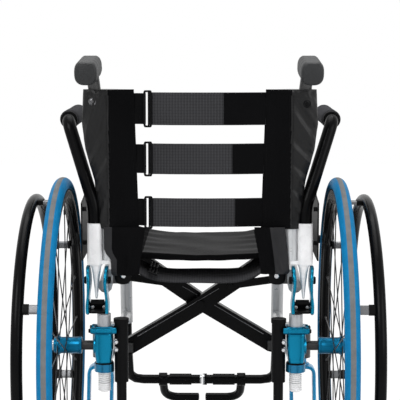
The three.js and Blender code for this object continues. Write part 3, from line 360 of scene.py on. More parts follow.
class Graph(Nodes):
    """Writes one material's nodes."""

    def __init__(self, name: str) -> None:
        """Starts a material with its shader and its object coordinates.

        Args:
            name: the material's name.
        """
        self.material = bpy.data.materials.new(name)
        self.material.use_nodes = True
        super().__init__(self.material.node_tree)
        self.shader = self.tree.nodes["Principled BSDF"]
        self.place = self.node("ShaderNodeTexCoord").outputs["Object"]

    def wear(self, inputs: dict) -> bpy.types.Material:
        """Fills the shader's inputs and gives back the material."""
        self.fill(self.shader, inputs)
        return self.material

    def noise(self, scale: float, detail: float, place: object = None) -> bpy.types.NodeSocket:
        """Noise from 0 to 1.

        Args:
            scale: cells to the metre.
            detail: octaves.
            place: other coordinates than the object's own.

        Returns:
            The noise's output.
        """
        inputs = {"Vector": place or self.place, "Scale": scale, "Detail": detail}
        return self.node("ShaderNodeTexNoise", inputs).outputs["Fac"]

    def spread(self, wave: object, width: float, middle: float) -> bpy.types.NodeSocket:
        """Turns a wave from 0 to 1 into a value that varies by a width round its middle."""
        return self.math("MULTIPLY_ADD", wave, width, middle - width / 2)

    def blend(self, share: object, first: object, second: object) -> bpy.types.NodeSocket:
        """Mixes two colours by the share of the second."""
        inputs = {0: share, 6: first, 7: second}
        return self.node("ShaderNodeMix", inputs, data_type="RGBA").outputs[2]

    def split(self, place: object) -> bpy.types.bpy_prop_collection:
        """The three coordinates of a place."""
        return self.node("ShaderNodeSeparateXYZ", {0: place}).outputs

    def zoned(self, zones: tuple["Zone", ...], base: object, rough: object, metal: object) -> None:
        """Sets colour, roughness and metal, with other values inside some boxes, which are counted
        on both sides of the chair alike.

        Args:
            zones: the boxes.
            base: colour elsewhere.
            rough: roughness elsewhere.
            metal: metal elsewhere.
        """
        for zone in zones:
            split = self.split(self.place)
            mask: object = 1.0
            values = (self.math("ABSOLUTE", split[0]), split[1], split[2])
            for value, low, high in zip(values, zone.low, zone.high):
                mask = self.math("MULTIPLY", mask, self.math("GREATER_THAN", value, low))
                mask = self.math("MULTIPLY", mask, self.math("LESS_THAN", value, high))
            base = self.blend(mask, base, zone.colour)
            change = self.math("SUBTRACT", zone.roughness, rough)
            rough = self.math("MULTIPLY_ADD", mask, change, rough)
            change = self.math("SUBTRACT", zone.metallic, metal)
            metal = self.math("MULTIPLY_ADD", mask, change, metal)
        self.wear({"Base Color": base, "Roughness": rough, "Metallic": metal})

    def bump(self, height: object, distance: float, strength: float) -> None:
        """Raises the surface by a height map.

        Args:
            height: the map.
            distance: its full height in metres.
            strength: its share.
        """
        inputs = {"Height": height, "Distance": distance, "Strength": strength}
        self.wear({"Normal": self.node("ShaderNodeBump", inputs).outputs[0]})


def rgb(red: int, green: int, blue: int) -> Colour:
    """Turns a screen colour into the scene's linear colour.

    Args:
        red: from 0 to 255.
        green: from 0 to 255.
        blue: from 0 to 255.

    Returns:
        Linear red, green, blue and 1.
    """
    share = np.array([red, green, blue]) / 255
    value = np.where(share <= 0.04045, share / 12.92, ((share + 0.055) / 1.055) ** 2.4)
    return (*map(float, value), 1.0)


def shade(colour: Colour, share: float) -> Colour:
    """A colour made darker or lighter by a share."""
    return (*(min(1.0, part * share) for part in colour[:3]), 1.0)


@dataclass(frozen=True)
class Zone:
    """A box on a node that has its own colour, in metres with the side place first."""

    low: Point
    high: Point
    colour: Colour
    metallic: float = 0.0
    roughness: float = 0.4


@dataclass(frozen=True)
class Paint:
    """Sprayed or powdered paint: faint orange peel, dusty mottling and rubbed spots."""

    name: str
    colour: Colour
    roughness: float = 0.3
    metallic: float = 0.0
    coat: float = 0.0
    gloss: float = 0.5
    zones: tuple[Zone, ...] = ()

    def material(self) -> bpy.types.Material:
        """Builds the material.

        Returns:
            The material.
        """
        graph = Graph(self.name)
        base = graph.blend(graph.noise(26, 4), shade(self.colour, 0.86), shade(self.colour, 1.1))
        rough = graph.spread(graph.noise(60, 5), 0.16, self.roughness)
        graph.zoned(self.zones, base, rough, self.metallic)
        graph.bump(graph.noise(420, 2), 0.00004, 0.6)
        return graph.wear({"Coat Weight": self.coat, "Coat Roughness": 0.12,
                           "Specular IOR Level": self.gloss})


@dataclass(frozen=True)
class Anodised:
    """Dyed anodised aluminium: soft metal with slow changes of depth in the dye."""

    name: str
    colour: Colour
    roughness: float

    def material(self) -> bpy.types.Material:
        """Builds the material.

        Returns:
            The material.
        """
        graph = Graph(self.name)
        patch = graph.noise(30, 2)
        graph.bump(graph.noise(90, 2), 0.00001, 0.12)
        return graph.wear({
            "Base Color": graph.blend(patch, shade(self.colour, 0.88), shade(self.colour, 1.14)),
            "Roughness": graph.spread(patch, 0.12, self.roughness), "Metallic": 0.85})


@dataclass(frozen=True)
class Steel:
    """Bright steel with fine brushed lines."""

    name: str
    colour: Colour
    roughness: float = 0.25
    zones: tuple[Zone, ...] = ()

    def material(self) -> bpy.types.Material:
        """Builds the material.

        Returns:
            The material.
        """
        graph = Graph(self.name)
        inputs = {"Vector": graph.place, "Scale": (1.0, 14.0, 14.0)}
        lines = graph.noise(120, 3, graph.node("ShaderNodeMapping", inputs).outputs[0])
        base = graph.blend(lines, shade(self.colour, 0.8), self.colour)
        graph.zoned(self.zones, base, graph.spread(lines, 0.2, self.roughness), 0.95)
        graph.bump(lines, 0.00003, 0.3)
        return graph.material


@dataclass(frozen=True)
class Moulded:
    """Moulded plastic, rubber or foam: a grain of cells over slow mottling."""

    name: str
    colour: Colour
    roughness: float
    grain: float
    depth: float
    contrast: float = 0.25
    gloss: float = 0.15

    def material(self) -> bpy.types.Material:
        """Builds the material.

        Returns:
            The material.
        """
        graph = Graph(self.name)
        inputs = {"Vector": graph.place, "Scale": self.grain}
        cells = graph.node("ShaderNodeTexVoronoi", inputs).outputs[0]
        mottle = graph.noise(35, 4)
        pores = graph.math("MULTIPLY_ADD", cells, 0.5, graph.math("MULTIPLY", mottle, 0.5))
        low, high = shade(self.colour, 1 - self.contrast), shade(self.colour, 1 + self.contrast)
        graph.bump(cells, self.depth, 0.7)
        return graph.wear({"Base Color": graph.blend(pores, low, high),
                           "Roughness": graph.spread(mottle, 0.16, self.roughness),
                           "Specular IOR Level": self.gloss})


class Weave(Enum):
    """How the threads of a cloth run."""

    PLAIN = "plain"
    RIBBED = "ribbed"
    PILE = "pile"


@dataclass(frozen=True)
class Cloth:
    """Woven cloth on its own UV map, which is in metres: threads across and along, and a sheen."""

    name: str
    colour: Colour
    weave: Weave = Weave.PLAIN
    threads: float = 1300.0
    depth: float = 0.0002
    roughness: float = 0.7
    sheen: float = 0.0
    gloss: float = 0.24
    crumple: float = 0.0

    def material(self) -> bpy.types.Material:
        """Builds the material. The threads come from two sines of the UV coordinates, and the
        crumple from noise that is stretched along one slanted direction.

        Returns:
            The material.
        """
        graph = Graph(self.name)
        split = graph.split(graph.node("ShaderNodeUVMap", uv_map="cloth").outputs[0])
        across, along = (graph.math("SINE", graph.math("MULTIPLY", split[way], self.threads * 2))
                         for way in (0, 1))
        if self.weave is Weave.PLAIN:
            threads = graph.math("MULTIPLY", across, along)
        elif self.weave is Weave.RIBBED:
            threads = graph.math("MULTIPLY_ADD", along, 0.35, graph.math("MULTIPLY", across, 0.65))
        else:
            threads = graph.math("SUBTRACT", graph.noise(2600, 2), 0.5)
        level = graph.math("MULTIPLY_ADD", threads, 0.5, 0.5)
        fade = graph.noise(16, 4)
        cloth = graph.blend(level, shade(self.colour, 0.5), shade(self.colour, 1.35))
        faded = graph.blend(graph.math("MULTIPLY", fade, 0.35), cloth, shade(self.colour, 1.8))
        if self.crumple:
            slant, fold = (graph.math("MULTIPLY_ADD", split[0], first,
                                      graph.math("MULTIPLY", split[1], second))
                           for first, second in ((0.9, 0.42), (-0.1, 0.2)))
            place = graph.node("ShaderNodeCombineXYZ", {0: slant, 1: fold, 2: 0.0}).outputs[0]
            share = self.crumple / self.depth
            level = graph.math("MULTIPLY_ADD", graph.noise(58, 2, place), share, level)
        graph.bump(level, self.depth, 0.6)
        return graph.wear({"Base Color": faded, "Specular IOR Level": self.gloss,
                           "Roughness": graph.spread(fade, 0.2, self.roughness),
                           "Sheen Weight": self.sheen, "Sheen Roughness": 0.4})


@dataclass(frozen=True)
class TyreRubber:
    """Two-coloured tyre rubber in metres: a grey tread band between blue walls, and a dark bead,
    set apart by the distance from the wheel's plane and from its axle."""

    name: str
    wall: Colour
    tread: Colour
    bead: Colour
    plane: float = 0.240
    half_band: float = 0.0042
    band_radius: float = 0.287
    block_radius: float = 0.283
    bead_radius: float = 0.2748
    blocks: float = 240.0

    def material(self) -> bpy.types.Material:
        """Builds the material. The tread's blocks are the higher of a straight and a slanted sine.

        Returns:
            The material.
        """
        graph = Graph(self.name)
        math = graph.math
        split = graph.split(graph.place)
        aside = math("ABSOLUTE", math("SUBTRACT", math("ABSOLUTE", split[0]), self.plane))
        back = math("SUBTRACT", split[1], AXLE_Y)
        up = math("SUBTRACT", split[2], AXLE_HEIGHT * MM)
        reach = math("SQRT", math("ADD", math("POWER", back, 2.0), math("POWER", up, 2.0)))
        band = math("MULTIPLY", math("LESS_THAN", aside, self.half_band),
                    math("GREATER_THAN", reach, self.band_radius))
        dust = graph.noise(70, 5)
        wall = graph.blend(dust, shade(self.wall, 0.75), shade(self.wall, 1.15))
        worn = graph.blend(dust, shade(self.tread, 0.7), shade(self.tread, 1.25))
        inside = math("LESS_THAN", reach, self.bead_radius)
        turn = math("MULTIPLY", math("ARCTAN2", back, up), self.blocks)
        slant = math("SINE", math("MULTIPLY_ADD", aside, 1500.0, turn))
        ridge = math("MULTIPLY", math("MAXIMUM", math("SINE", turn), slant),
                     math("GREATER_THAN", reach, self.block_radius))
        graph.bump(math("MULTIPLY_ADD", ridge, 0.5, graph.noise(700, 2)), 0.0003, 0.5)
        colour = graph.blend(inside, graph.blend(band, wall, worn), self.bead)
        return graph.wear({"Base Color": colour, "Roughness": 0.55, "Specular IOR Level": 0.12})


@dataclass(frozen=True)
class FloorWhite:
    """Pale floor that glows to the camera, so that only the object's soft shadow shows on it."""

    name: str = "floor_white"
    colour: Colour = (0.93, 0.93, 0.93, 1.0)
    glow: float = 1.06
    share: float = 0.93

    def material(self) -> bpy.types.Material:
        """Builds the material.

        Returns:
            The material.
        """
        graph = Graph(self.name)
        ray = graph.node("ShaderNodeLightPath").outputs["Is Camera Ray"]
        glow = graph.node("ShaderNodeEmission", {"Strength": self.glow}).outputs[0]
        share = graph.math("MULTIPLY", ray, self.share)
        mix = graph.node("ShaderNodeMixShader", {0: share, 1: graph.shader.outputs[0], 2: glow})
        graph.fill(graph.tree.nodes["Material Output"], {"Surface": mix.outputs[0]})
        return graph.wear({"Base Color": self.colour, "Roughness": 0.9})


BLACK = rgb(15, 15, 16)
ENAMEL = rgb(10, 10, 11)
SILVER = rgb(166, 168, 170)
FAR = 1.0

FINISHES: dict[str, object] = {
    "frame": Paint("frame_silver", SILVER, metallic=0.35, coat=0.3, zones=(
        Zone((0.1815, -FAR, -FAR), (FAR, FAR, FAR), BLACK),
        Zone((0.0, -0.12, 0.268), (0.1553, 0.2, FAR), BLACK),
        Zone((0.0, -0.12, -FAR), (0.1496, 0.2, 0.27), BLACK),
        Zone((0.0, -FAR, -FAR), (FAR, -0.1193, 0.2655), rgb(0, 100, 138), 0.85, 0.28),
    )),
    "upright": Paint("upright_silver", rgb(166, 168, 171), metallic=0.3, coat=0.2, zones=(
        Zone((0.0, -FAR, -FAR), (FAR, FAR, 0.2532), rgb(156, 158, 160), 0.0, 0.45),
    )),
    "cane": Paint("cane_silver", rgb(196, 198, 200), metallic=0.3, coat=0.3, zones=(
        Zone((0.0, -FAR, 0.728), (FAR, FAR, FAR), BLACK, 0.0, 0.45),
    )),
    "foot_bar": Paint("foot_bar_enamel", ENAMEL, 0.26, gloss=0.055, zones=(
        Zone((0.0, 0.37, -FAR), (0.0046, FAR, FAR), SILVER, 0.8, 0.3),
    )),
    "tip_tube": Paint("support_black", BLACK, gloss=0.06),
    "white": Paint("post_white", rgb(232, 232, 233), 0.28, coat=0.5),
    "black": Paint("black_enamel", ENAMEL, 0.24, gloss=0.055),
    "deep": Paint("deep_black_enamel", ENAMEL, 0.4, gloss=0.07),
    "fork": Paint("fork_blue", rgb(10, 138, 190), 0.26, 0.1, 0.3, 0.3),
    "hub": Anodised("hub_blue", rgb(0, 96, 132), 0.3),
    "clamp": Anodised("clamp_blue", rgb(2, 112, 146), 0.22),
    "hinge": Anodised("hinge_blue", rgb(4, 118, 150), 0.24),
    "steel": Steel("bright_steel", rgb(205, 206, 208)),
    "screw": Steel("dark_steel", rgb(96, 96, 98), 0.3),
    "tab": Steel("tab_steel", rgb(118, 119, 121), 0.35),
    "axle": Steel("axle_steel", rgb(190, 192, 194), 0.3, zones=(
        Zone((0.1868, -FAR, -FAR), (0.2099, FAR, FAR), ENAMEL, 0.0, 0.45),
    )),
    "spoke": Steel("spoke_steel", rgb(46, 46, 48), 0.35),
    "tyre": TyreRubber("tyre_blue", rgb(0, 110, 160), rgb(104, 106, 108), rgb(16, 18, 22)),
    "rubber": Moulded("caster_rubber", rgb(26, 26, 28), 0.7, 700, 0.00008),
    "plastic": Moulded("black_plastic", rgb(12, 12, 13), 0.42, 1100, 0.00004, gloss=0.06),
    "foam": Moulded("grey_foam", rgb(46, 46, 49), 0.85, 420, 0.00035, 0.35, 0.08),
    "grip": Moulded("grip_rubber", rgb(36, 37, 38), 0.5, 520, 0.0003, 0.4, 0.22),
    "nylon": Cloth("back_nylon", rgb(10, 10, 11), roughness=0.42, crumple=0.004),
    "seat": Cloth("seat_nylon", rgb(12, 12, 13), roughness=0.55, gloss=0.045, crumple=0.0006),
    "flap": Cloth("flap_nylon", rgb(26, 26, 28), roughness=0.5, crumple=0.003),
    "loop": Cloth("loop_velcro", rgb(12, 12, 13), Weave.PILE, 900, 0.0009, 0.95, gloss=0.025,
                  crumple=0.001),
    "webbing": Cloth("charcoal_webbing", rgb(46, 46, 48), Weave.RIBBED, 620, 0.0007, gloss=0.1),
    "strap": Cloth("under_strap", rgb(44, 44, 46), Weave.RIBBED, 700, 0.0005, 0.7, 0.02, 0.08),
    "hem": Cloth("hem_tape", rgb(12, 12, 13), Weave.RIBBED, 1300, 0.0003, 0.8, gloss=0.04),
    "floor": FloorWhite(),
}


class Wardrobe:
    """Makes each finish once, and hands it out."""

    def __init__(self) -> None:
        """Starts empty."""
        self.made: dict[str, bpy.types.Material] = {}

    def get(self, key: str) -> bpy.types.Material:
        """Gives a finish's material, and makes it on the first call.

        Args:
            key: the finish's key.

        Returns:
            The material.
        """
        if key not in self.made:
            self.made[key] = FINISHES[key].material()
        return self.made[key]


WARDROBE = Wardrobe()


# Pieces


def dress(node: str, finish: str) -> None:
    """Gives a carried-over node its finish, with smooth shading between near-parallel faces.

    Args:
        node: the node's name.
        finish: the finish's key.
    """
    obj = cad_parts[node]
    obj.data.materials.clear()
    obj.data.materials.append(WARDROBE.get(finish))
    obj.data.polygons.foreach_set("use_smooth", np.ones(len(obj.data.polygons), bool))
    obj.modifiers.new("weld", "WELD").merge_threshold = 0.00001
    obj.modifiers.new("creases", "EDGE_SPLIT").split_angle = NODE_CREASE


def settle(obj: bpy.types.Object, body: str, replaced: str = "") -> None:
    """Puts a piece on its body and the node that it stands for.

    Args:
        obj: the piece.
        body: the body's name.
        replaced: the node's name, or nothing.
    """
    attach(obj, body)
    if replaced:
        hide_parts(replaced)
    LOG.info("piece %s on %s", obj.name, body)


def unwrap(obj: bpy.types.Object, first: Point, second: Point) -> None:
    """Writes a UV map in metres, from the places along two directions.

    Args:
        obj: the piece.
        first: direction of the first coordinate.
        second: direction of the second coordinate.
    """
    mesh = obj.data
    layer = mesh.uv_layers.new(name="cloth")
    corner = np.zeros(len(mesh.loops), int)
    mesh.loops.foreach_get("vertex_index", corner)
    place = np.zeros(len(mesh.vertices) * 3)
    mesh.vertices.foreach_get("co", place)
    flat = place.reshape(-1, 3)[corner] @ np.array([first, second]).T
    layer.data.foreach_set("uv", flat.ravel())


def thicken(obj: bpy.types.Object, thickness: float, offset: float = -1.0) -> None:
    """Gives a sheet its thickness.

    Args:
        obj: the sheet.
        thickness: in metres.
        offset: the side that it grows to, as -1 or 1.
    """
    solid = obj.modifiers.new("thickness", "SOLIDIFY")
    solid.thickness = thickness
    solid.offset = offset


def second_finish(obj: bpy.types.Object, finish: str, faces: np.ndarray) -> None:
    """Gives the faces that are true in the array another finish."""
    obj.data.materials.append(WARDROBE.get(finish))
    obj.data.polygons.foreach_set("material_index", faces.astype(int))


def side_places(obj: bpy.types.Object) -> np.ndarray:
    """Distance of each face's middle from the chair's middle plane, in metres."""
    return np.abs(np.array([face.center[0] for face in obj.data.polygons]))


# Parts of the chair


@dataclass
class Sided:
    """A part of the chair that stands once on each side."""

    side: str

    @property
    def sign(self) -> float:
        """Which side of the chair, as -1 or 1."""
        return SIDES[self.side]

    def mirror(self, points: np.ndarray) -> np.ndarray:
        """Puts points of the right side on this side."""
        return points * np.array([self.sign, 1.0, 1.0])

    def across(self, profile: Profile) -> Profile:
        """Puts a profile that is turned round the chair's cross axis on this side."""
        return [(radius, place * self.sign) for radius, place in profile]

    def column(self, height: np.ndarray, x: Number, width: Number, depth: Number, power: float,
               y: Number = 0.0) -> np.ndarray:
        """Upright body: at each height, a superellipse round a centre.

        Args:
            height: heights of the rings.
            x: side place of the centres.
            width: size across the chair.
            depth: size along the chair.
            power: how square the corners are.
            y: place of the centres along the chair.

        Returns:
            Grid of points in the frame.
        """
        unit = ring(48, power)
        height, x, width, depth, y = (np.broadcast_to(value, height.shape)[:, None]
                                      for value in (height, x, width, depth, y))
        return self.mirror(line(x + unit[:, 0] * width / 2, y + unit[:, 1] * depth / 2, height))

    def piece(self, skin: Skin, name: str, finish: str) -> bpy.types.Object:
        """Makes this side's piece."""
        return skin.piece(f"{name}_{self.side}", finish)

    def settle(self, obj: bpy.types.Object, slot: str, body: str, node: str = "") -> None:
        """Settles a piece on this side's body, in the place of this side's node."""
        settle(obj, f"{body}_{self.side}", node and f"{node}_{self.side}")

    def put(self, skin: Skin, name: str, finish: str, slot: str, body: str, node: str = "") -> None:
        """Makes and settles this side's piece. Every name is given without its side.

        Args:
            skin: the piece's surfaces.
            name: the piece's name.
            finish: the finish's key.
            slot: the record's material slot; not used.
            body: the body that carries it.
            node: the node that it stands for, or nothing.
        """
        self.settle(self.piece(skin, name, finish), slot, body, node)


@dataclass
class RearWheel(Sided):
    """One rear wheel: tyre, rim, handrim with its standoffs, hub, spokes and valve."""

    plane: float = 240.0
    tyre_middle: float = 282.6
    tyre_section: float = 12.5
    rim_outer: float = 272.3
    rim_inner: float = 251.5
    handrim_middle: float = 256.25
    handrim_section: float = 9.6
    handrim_plane: float = 287.0
    tabs: int = 6
    tab_turn: float = 0.077
    hub_low: float = -33.0
    hub_high: float = 16.0
    spokes: int = 18
    spoke_lead: float = 0.3 * np.pi
    spoke_reach: float = 252.0
    flange_reach: float = 15.6
    valve_turn: float = np.radians(171)
    facets: int = 128

    def centre(self, plane: float) -> Point:
        """The axle's point in a plane."""
        return (self.sign * plane, 0.0, AXLE_HEIGHT)

    def ray(self, angle: float, reach: float = 1.0, aside: float = 0.0) -> np.ndarray:
        """A place in the wheel, from its angle, its distance from the axle and its side place."""
        return np.array([aside, reach * np.cos(angle), reach * np.sin(angle)])

    def hoop(self, profile: Profile, plane: float) -> Skin:
        """A closed ring round the axle, in a plane."""
        return Skin().turn(profile, self.centre(plane), self.facets)

    def build(self) -> None:
        """Makes every piece of the wheel."""
        wall = arc(self.tyre_middle, 0, self.tyre_section, -141, 141, 27)
        tyre = self.hoop([*wall, wall[0]], self.plane)
        self.put(tyre, "tyre_skin", "tyre", "blue_tyre", "wheel", "tyre")
        outer, inner = self.rim_outer, self.rim_inner
        wall = [(outer - 3, 7.4), (outer, 8), (outer, 9.8), (outer - 2, 10),
                *arc(outer - 9, 7, 3.2, 110, 160, 5), (inner + 3, 5.4)]
        well = arc(inner + 4.5, 0, 4.6, 250, 110, 9)
        edge = [*both_ways(wall, well)[:-1], (outer - 3.4, 0), (outer - 3, -7.4)]
        rim = self.hoop(edge, self.plane)
        self.put(rim, "rim_shell", "black", "black_metal", "wheel", "rim")
        grip = arc(self.handrim_middle, 0, self.handrim_section, 0, 360, 25)
        handrim = self.hoop(grip, self.handrim_plane)
        self.put(handrim, "handrim_hoop", "black", "black_metal", "wheel", "handrim")
        self.standoffs()
        self.hub()
        self.wires()
        self.valve()

    def standoffs(self) -> None:
        """Flat tabs between rim and handrim, with a foot at each end."""
        tabs, feet = Skin(), Skin()
        reach = self.handrim_plane - self.plane
        bars = ((tabs, 11.0, reach - 17.0, (15.0, 6.0)), (feet, 8.4, 12.0, (15.0, 9.0)),
                (feet, reach - 18.0, reach - 7.0, (17.0, 10.0)))
        for number in range(self.tabs):
            out = self.ray((number + 0.5) / self.tabs * CIRCLE + self.tab_turn)
            _, y, z = out * self.handrim_middle
            for skin, start, end, size in bars:
                x = self.sign * (self.plane + np.linspace(start, end, 6))
                skin.tube(line(x, y, z + AXLE_HEIGHT), rounded_box(*size, 5, 24), out)
        self.put(tabs, "handrim_tabs", "tab", "steel", "wheel")
        self.put(feet, "handrim_feet", "deep", "black_metal", "wheel")

    def hub(self) -> None:
        """Spool hub with two flanges."""
        low, high = self.hub_low, self.hub_high
        spool = [(7, low), (13.6, low), (14.6, low + 0.8), (14.8, low + 2), (14.8, low + 7),
                 (14.4, low + 8), (14.4, high - 13), (15, high - 11.4), (16.4, high - 10),
                 (17.5, high - 9), (17.5, high - 6), (16.4, high - 5), (13.6, high - 4.4),
                 (13.6, high - 1), (12.8, high), (7, high), (7, low)]
        shell = Skin().turn(self.across(spool), self.centre(self.plane), 64)
        self.put(shell, "hub_shell", "hub", "blue_anodised", "wheel", "hub_with_spokes")

    def wires(self) -> None:
        """Crossing spokes, each with its nipple: it leaves a flange ahead of or behind the place
        where it meets the rim."""
        skin = Skin()
        share = np.array([0, 0.02, 0.9, 0.91, 0.94, 0.945, 1.0])[:, None]
        radius = np.array([1.0, 1.0, 1.0, 1.9, 1.9, 1.0, 1.0])
        for number in range(self.spokes):
            outer = number / self.spokes * CIRCLE
            inner = outer + (self.spoke_lead if number % 4 < 2 else -self.spoke_lead)
            flange = (self.hub_low + 26.0, self.hub_high - 7.5)[number % 2] * self.sign
            start = self.ray(inner, self.flange_reach, flange)
            end = self.ray(outer, self.spoke_reach)
            path = placed(start + (end - start) * share + np.array(self.centre(self.plane)))
            skin.tube(path, circle(radius, 8), X_WAY)
        self.put(skin, "spokes", "spoke", "black_metal", "wheel")

    def valve(self) -> None:
        """Short valve stem with its cap, on the rim's inner side."""
        reach = np.array([238.0, 246.0, 246.5, 251.6, 253.0])[:, None]
        radius = np.array([2.6, 3.4, 2.4, 2.4, 2.4])
        path = placed(self.ray(self.valve_turn) * reach + np.array(self.centre(self.plane)))
        stem = Skin().tube(path, circle(radius, 14), X_WAY)
        self.put(stem, "valve", "plastic", "black_plastic", "wheel")


@dataclass(frozen=True)
class BackLines:
    """Lines that the sleeves and the straps of the back share, on the chair's right side."""

    foot: tuple[float, float] = (158.4, 447.3)
    bend: float = 556.0
    top: Point = (184.0, -16.0, 779.0)
    low: float = 503.0
    high: float = 744.0
    inner: float = 105.8
    inner_lean: float = 7.0
    hem: float = 15.2
    seam: float = 156.0
    flat: float = 2.2

    def cane_at(self, height: Number) -> tuple[Number, Number]:
        """Centre of the cane at a height: straight up, then leaning out and back evenly.

        Args:
            height: one height or several.

        Returns:
            Side place and place along the chair.
        """
        share = np.clip((height - self.bend) / (self.top[2] - self.bend), 0, 1)
        return self.foot[0] + (self.top[0] - self.foot[0]) * share, self.top[1] * share

    def inner_edge(self, height: Number) -> Number:
        """Side place of the sleeve's inner edge at a height."""
        return self.inner + self.inner_lean * (height - self.low) / (self.high - self.low)

    def swell(self, x: Number, depth: Number) -> Number:
        """Half the sleeve's thickness at a side place: a flat sheet that swells to the cane."""
        rise = 0.5 - 0.5 * np.cos(np.pi * np.clip((x - 124) / 34, 0, 1))
        return self.flat + (depth - self.flat) * rise


BACK = BackLines()


@dataclass(frozen=True)
class BackCut:
    """What differs between the two sides of the back: slopes of the sleeve's folds, its screw, and
    the flap's outer edge with the share of tape on it and its flat size in metres."""

    slopes: tuple[float, float]
    screw: float
    screw_finish: str
    flap_heights: tuple[float, ...]
    flap_edges: tuple[float, ...]
    tape: float
    size: tuple[float, float]
    area: float


BACK_CUTS = {
    "left": BackCut((0.085, 0.23), 724, "screw", (421, 425, 449, 460, 468, 506),
                    (152, 154, 154.5, 163, 166, 166.5), 0.8, (0.071, 0.088), 0.0055),
    "right": BackCut((0.13, 0.15), 720, "plastic", (424, 428, 442, 506),
                     (153, 156, 154.5, 147), 0.5, (0.062, 0.085), 0.0046),
}
SLEEVE_EDGE = ((503, 520, 545, 585, 640, 686, 744), (173.6, 176, 178, 182, 197.0, 202.5, 199.3))


@dataclass
class BackSide(Sided):
    """One side of the back: cane, grip, padded sleeve, lower flap and armrest."""

    stub: float = 52.0
    cane_radius: float = 10.8
    grip_length: float = 113.0
    grip_inset: float = 3.0
    flap_top: float = 506.0
    arm: tuple[float, float] = (230.5, 688.0)
    arm_radius: float = 11.4

    @property
    def cut(self) -> BackCut:
        """What is this side's own."""
        return BACK_CUTS[self.side]

    def build(self) -> None:
        """Makes every piece of this side of the back."""
        foot, top = BACK.foot, BACK.top
        path = bent_path([(foot[0], 0, foot[1]), (foot[0], 0, BACK.bend), top,
                          (top[0], top[1] - self.stub, top[2])], [68, 34])
        cane = Skin().tube(path, circle(self.cane_radius, 32), X_WAY, self.sign)
        self.put(cane, "cane", "cane", "frame_paint", "back", "back_cane")
        self.grip()
        self.sleeve()
        self.stitching()
        self.screw()
        self.flap()
        self.armrest()

    def grip(self) -> None:
        """Flat-topped grip: rounded sections along the stub, with waists for the finger grooves, a
        thin parting line on each side and a collar in front."""
        share = np.concatenate([np.linspace(0, 0.06, 8), np.linspace(0.1, 0.9, 40),
                                np.linspace(0.94, 1, 8)])
        rounding = np.clip((np.abs(share - 0.5) - 0.42) / 0.08, 0, 1)
        ends = 0.8 + 0.2 * np.sqrt(np.clip(1 - rounding ** 2, 0, 1))
        waists = 1 - 0.04 * (np.cos(share * 4 * CIRCLE) + 1) / 2
        section = rounded_box(37.5, 40, 2.7, 64)
        section[:, 1] = np.minimum(section[:, 1], 18.6)
        parting = (np.abs(np.abs(section[:, 0]) - 17.0) < 1.3) & (np.abs(section[:, 1]) < 8)
        section = np.where(parting[:, None], section * 0.97, section)
        x, y, z = BACK.top[0] - self.grip_inset, BACK.top[1] - self.stub, BACK.top[2]
        path = line(x, y + 6 - self.grip_length * share, z + 6.0 - 9 * share)
        skin = Skin().tube(path, section * (ends * waists)[:, None, None], Z_WAY, self.sign)
        self.put(skin, "grip", "grip", "grip_rubber", "back", "push_grip")
        collar = [(0, 0), (16, 0), (18, 2), (18, 7), (16, 9), (0, 9)]
        band = Skin().turn(collar, (self.sign * x, y + 1, z + 2), 40, "y")
        self.put(band, "grip_collar", "plastic", "black_plastic", "back")

    def sleeve(self) -> None:
        """Cloth sleeve round the cane. Each section is a flat double sheet from the inner edge that
        swells to a half circle round the cane. Slanting folds cross its outer part, and a seam and
        two hems draw it in."""
        low, high, hem = BACK.low, BACK.high, BACK.hem
        height = np.linspace(low, high, 121)[:, None]
        cane_x, cane_y = BACK.cane_at(height)
        inner = BACK.inner_edge(height)
        end = np.maximum(np.interp(height, *SLEEVE_EDGE), cane_x + hem * 0.98) - hem
        angle = np.linspace(-np.pi / 2, np.pi / 2, 26)
        depth = hem * (1 - 0.18 * np.clip((end - cane_x) / 20, 0, 1))
        flat = inner + (end - inner) * np.linspace(0, 1, 40)
        swell = BACK.swell(flat, depth)
        x = np.concatenate([flat, end + hem * np.cos(angle), flat[:, ::-1]], 1)
        y = np.concatenate([-swell, depth * np.sin(angle), swell[:, ::-1]], 1)
        slopes = self.cut.slopes
        crease = height * slopes[0] + x * slopes[1] + 1.2 * np.sin(height * 0.031)
        folds = 1.9 * np.sin(crease) + 0.9 * np.sin(crease * 1.9 + 1.1)
        folds += 0.4 * np.sin(crease * 3.3 + height * 0.04)
        pull = 0.7 * np.sin(height * 0.045 + 1.3) + 0.5
        folds = np.maximum(folds + pull, -1.5) * np.clip((x - 150) / 20, 0, 1)
        fade = np.clip(np.minimum(height - low, high - height) / 7, 0, 1)
        drawn = 1.1 * bell(x, BACK.seam, 1.5)
        drawn += 0.7 * bell(height, low + 9, 1.6) + 0.7 * bell(height, high - 9, 1.6)
        y = (y + np.sign(y) * (folds * fade - drawn)) * (1 - 0.12 * (1 - fade) ** 2)
        skin = Skin().add(self.mirror(line(x, cane_y + y, height)))
        piece = self.piece(skin, "back_sleeve", "nylon")
        second_finish(piece, "loop", side_places(piece) < BACK.seam * MM)
        unwrap(piece, X_WAY, Z_WAY)
        self.settle(piece, "black_nylon", "back", "back_panel")

    def stitching(self) -> None:
        """Rows of thread along the seam and the inner edge, as short raised stitches."""
        threads = Skin()
        for place in (BACK.seam - 3.2, BACK.seam + 3.2, 114.5):
            surface = BACK.swell(place, BACK.hem) + np.array([-0.3, 0.25, 0.25, -0.3])
            for start in np.arange(BACK.low + 8, BACK.high - 8, 5.0):
                height = start + np.linspace(0, 3.4, 4)
                path = line(place, BACK.cane_at(height)[1] - surface, height)
                threads.tube(path, circle(0.35, 5), Y_WAY, self.sign)
        self.put(threads, "back_stitches", "plastic", "black_nylon", "back")

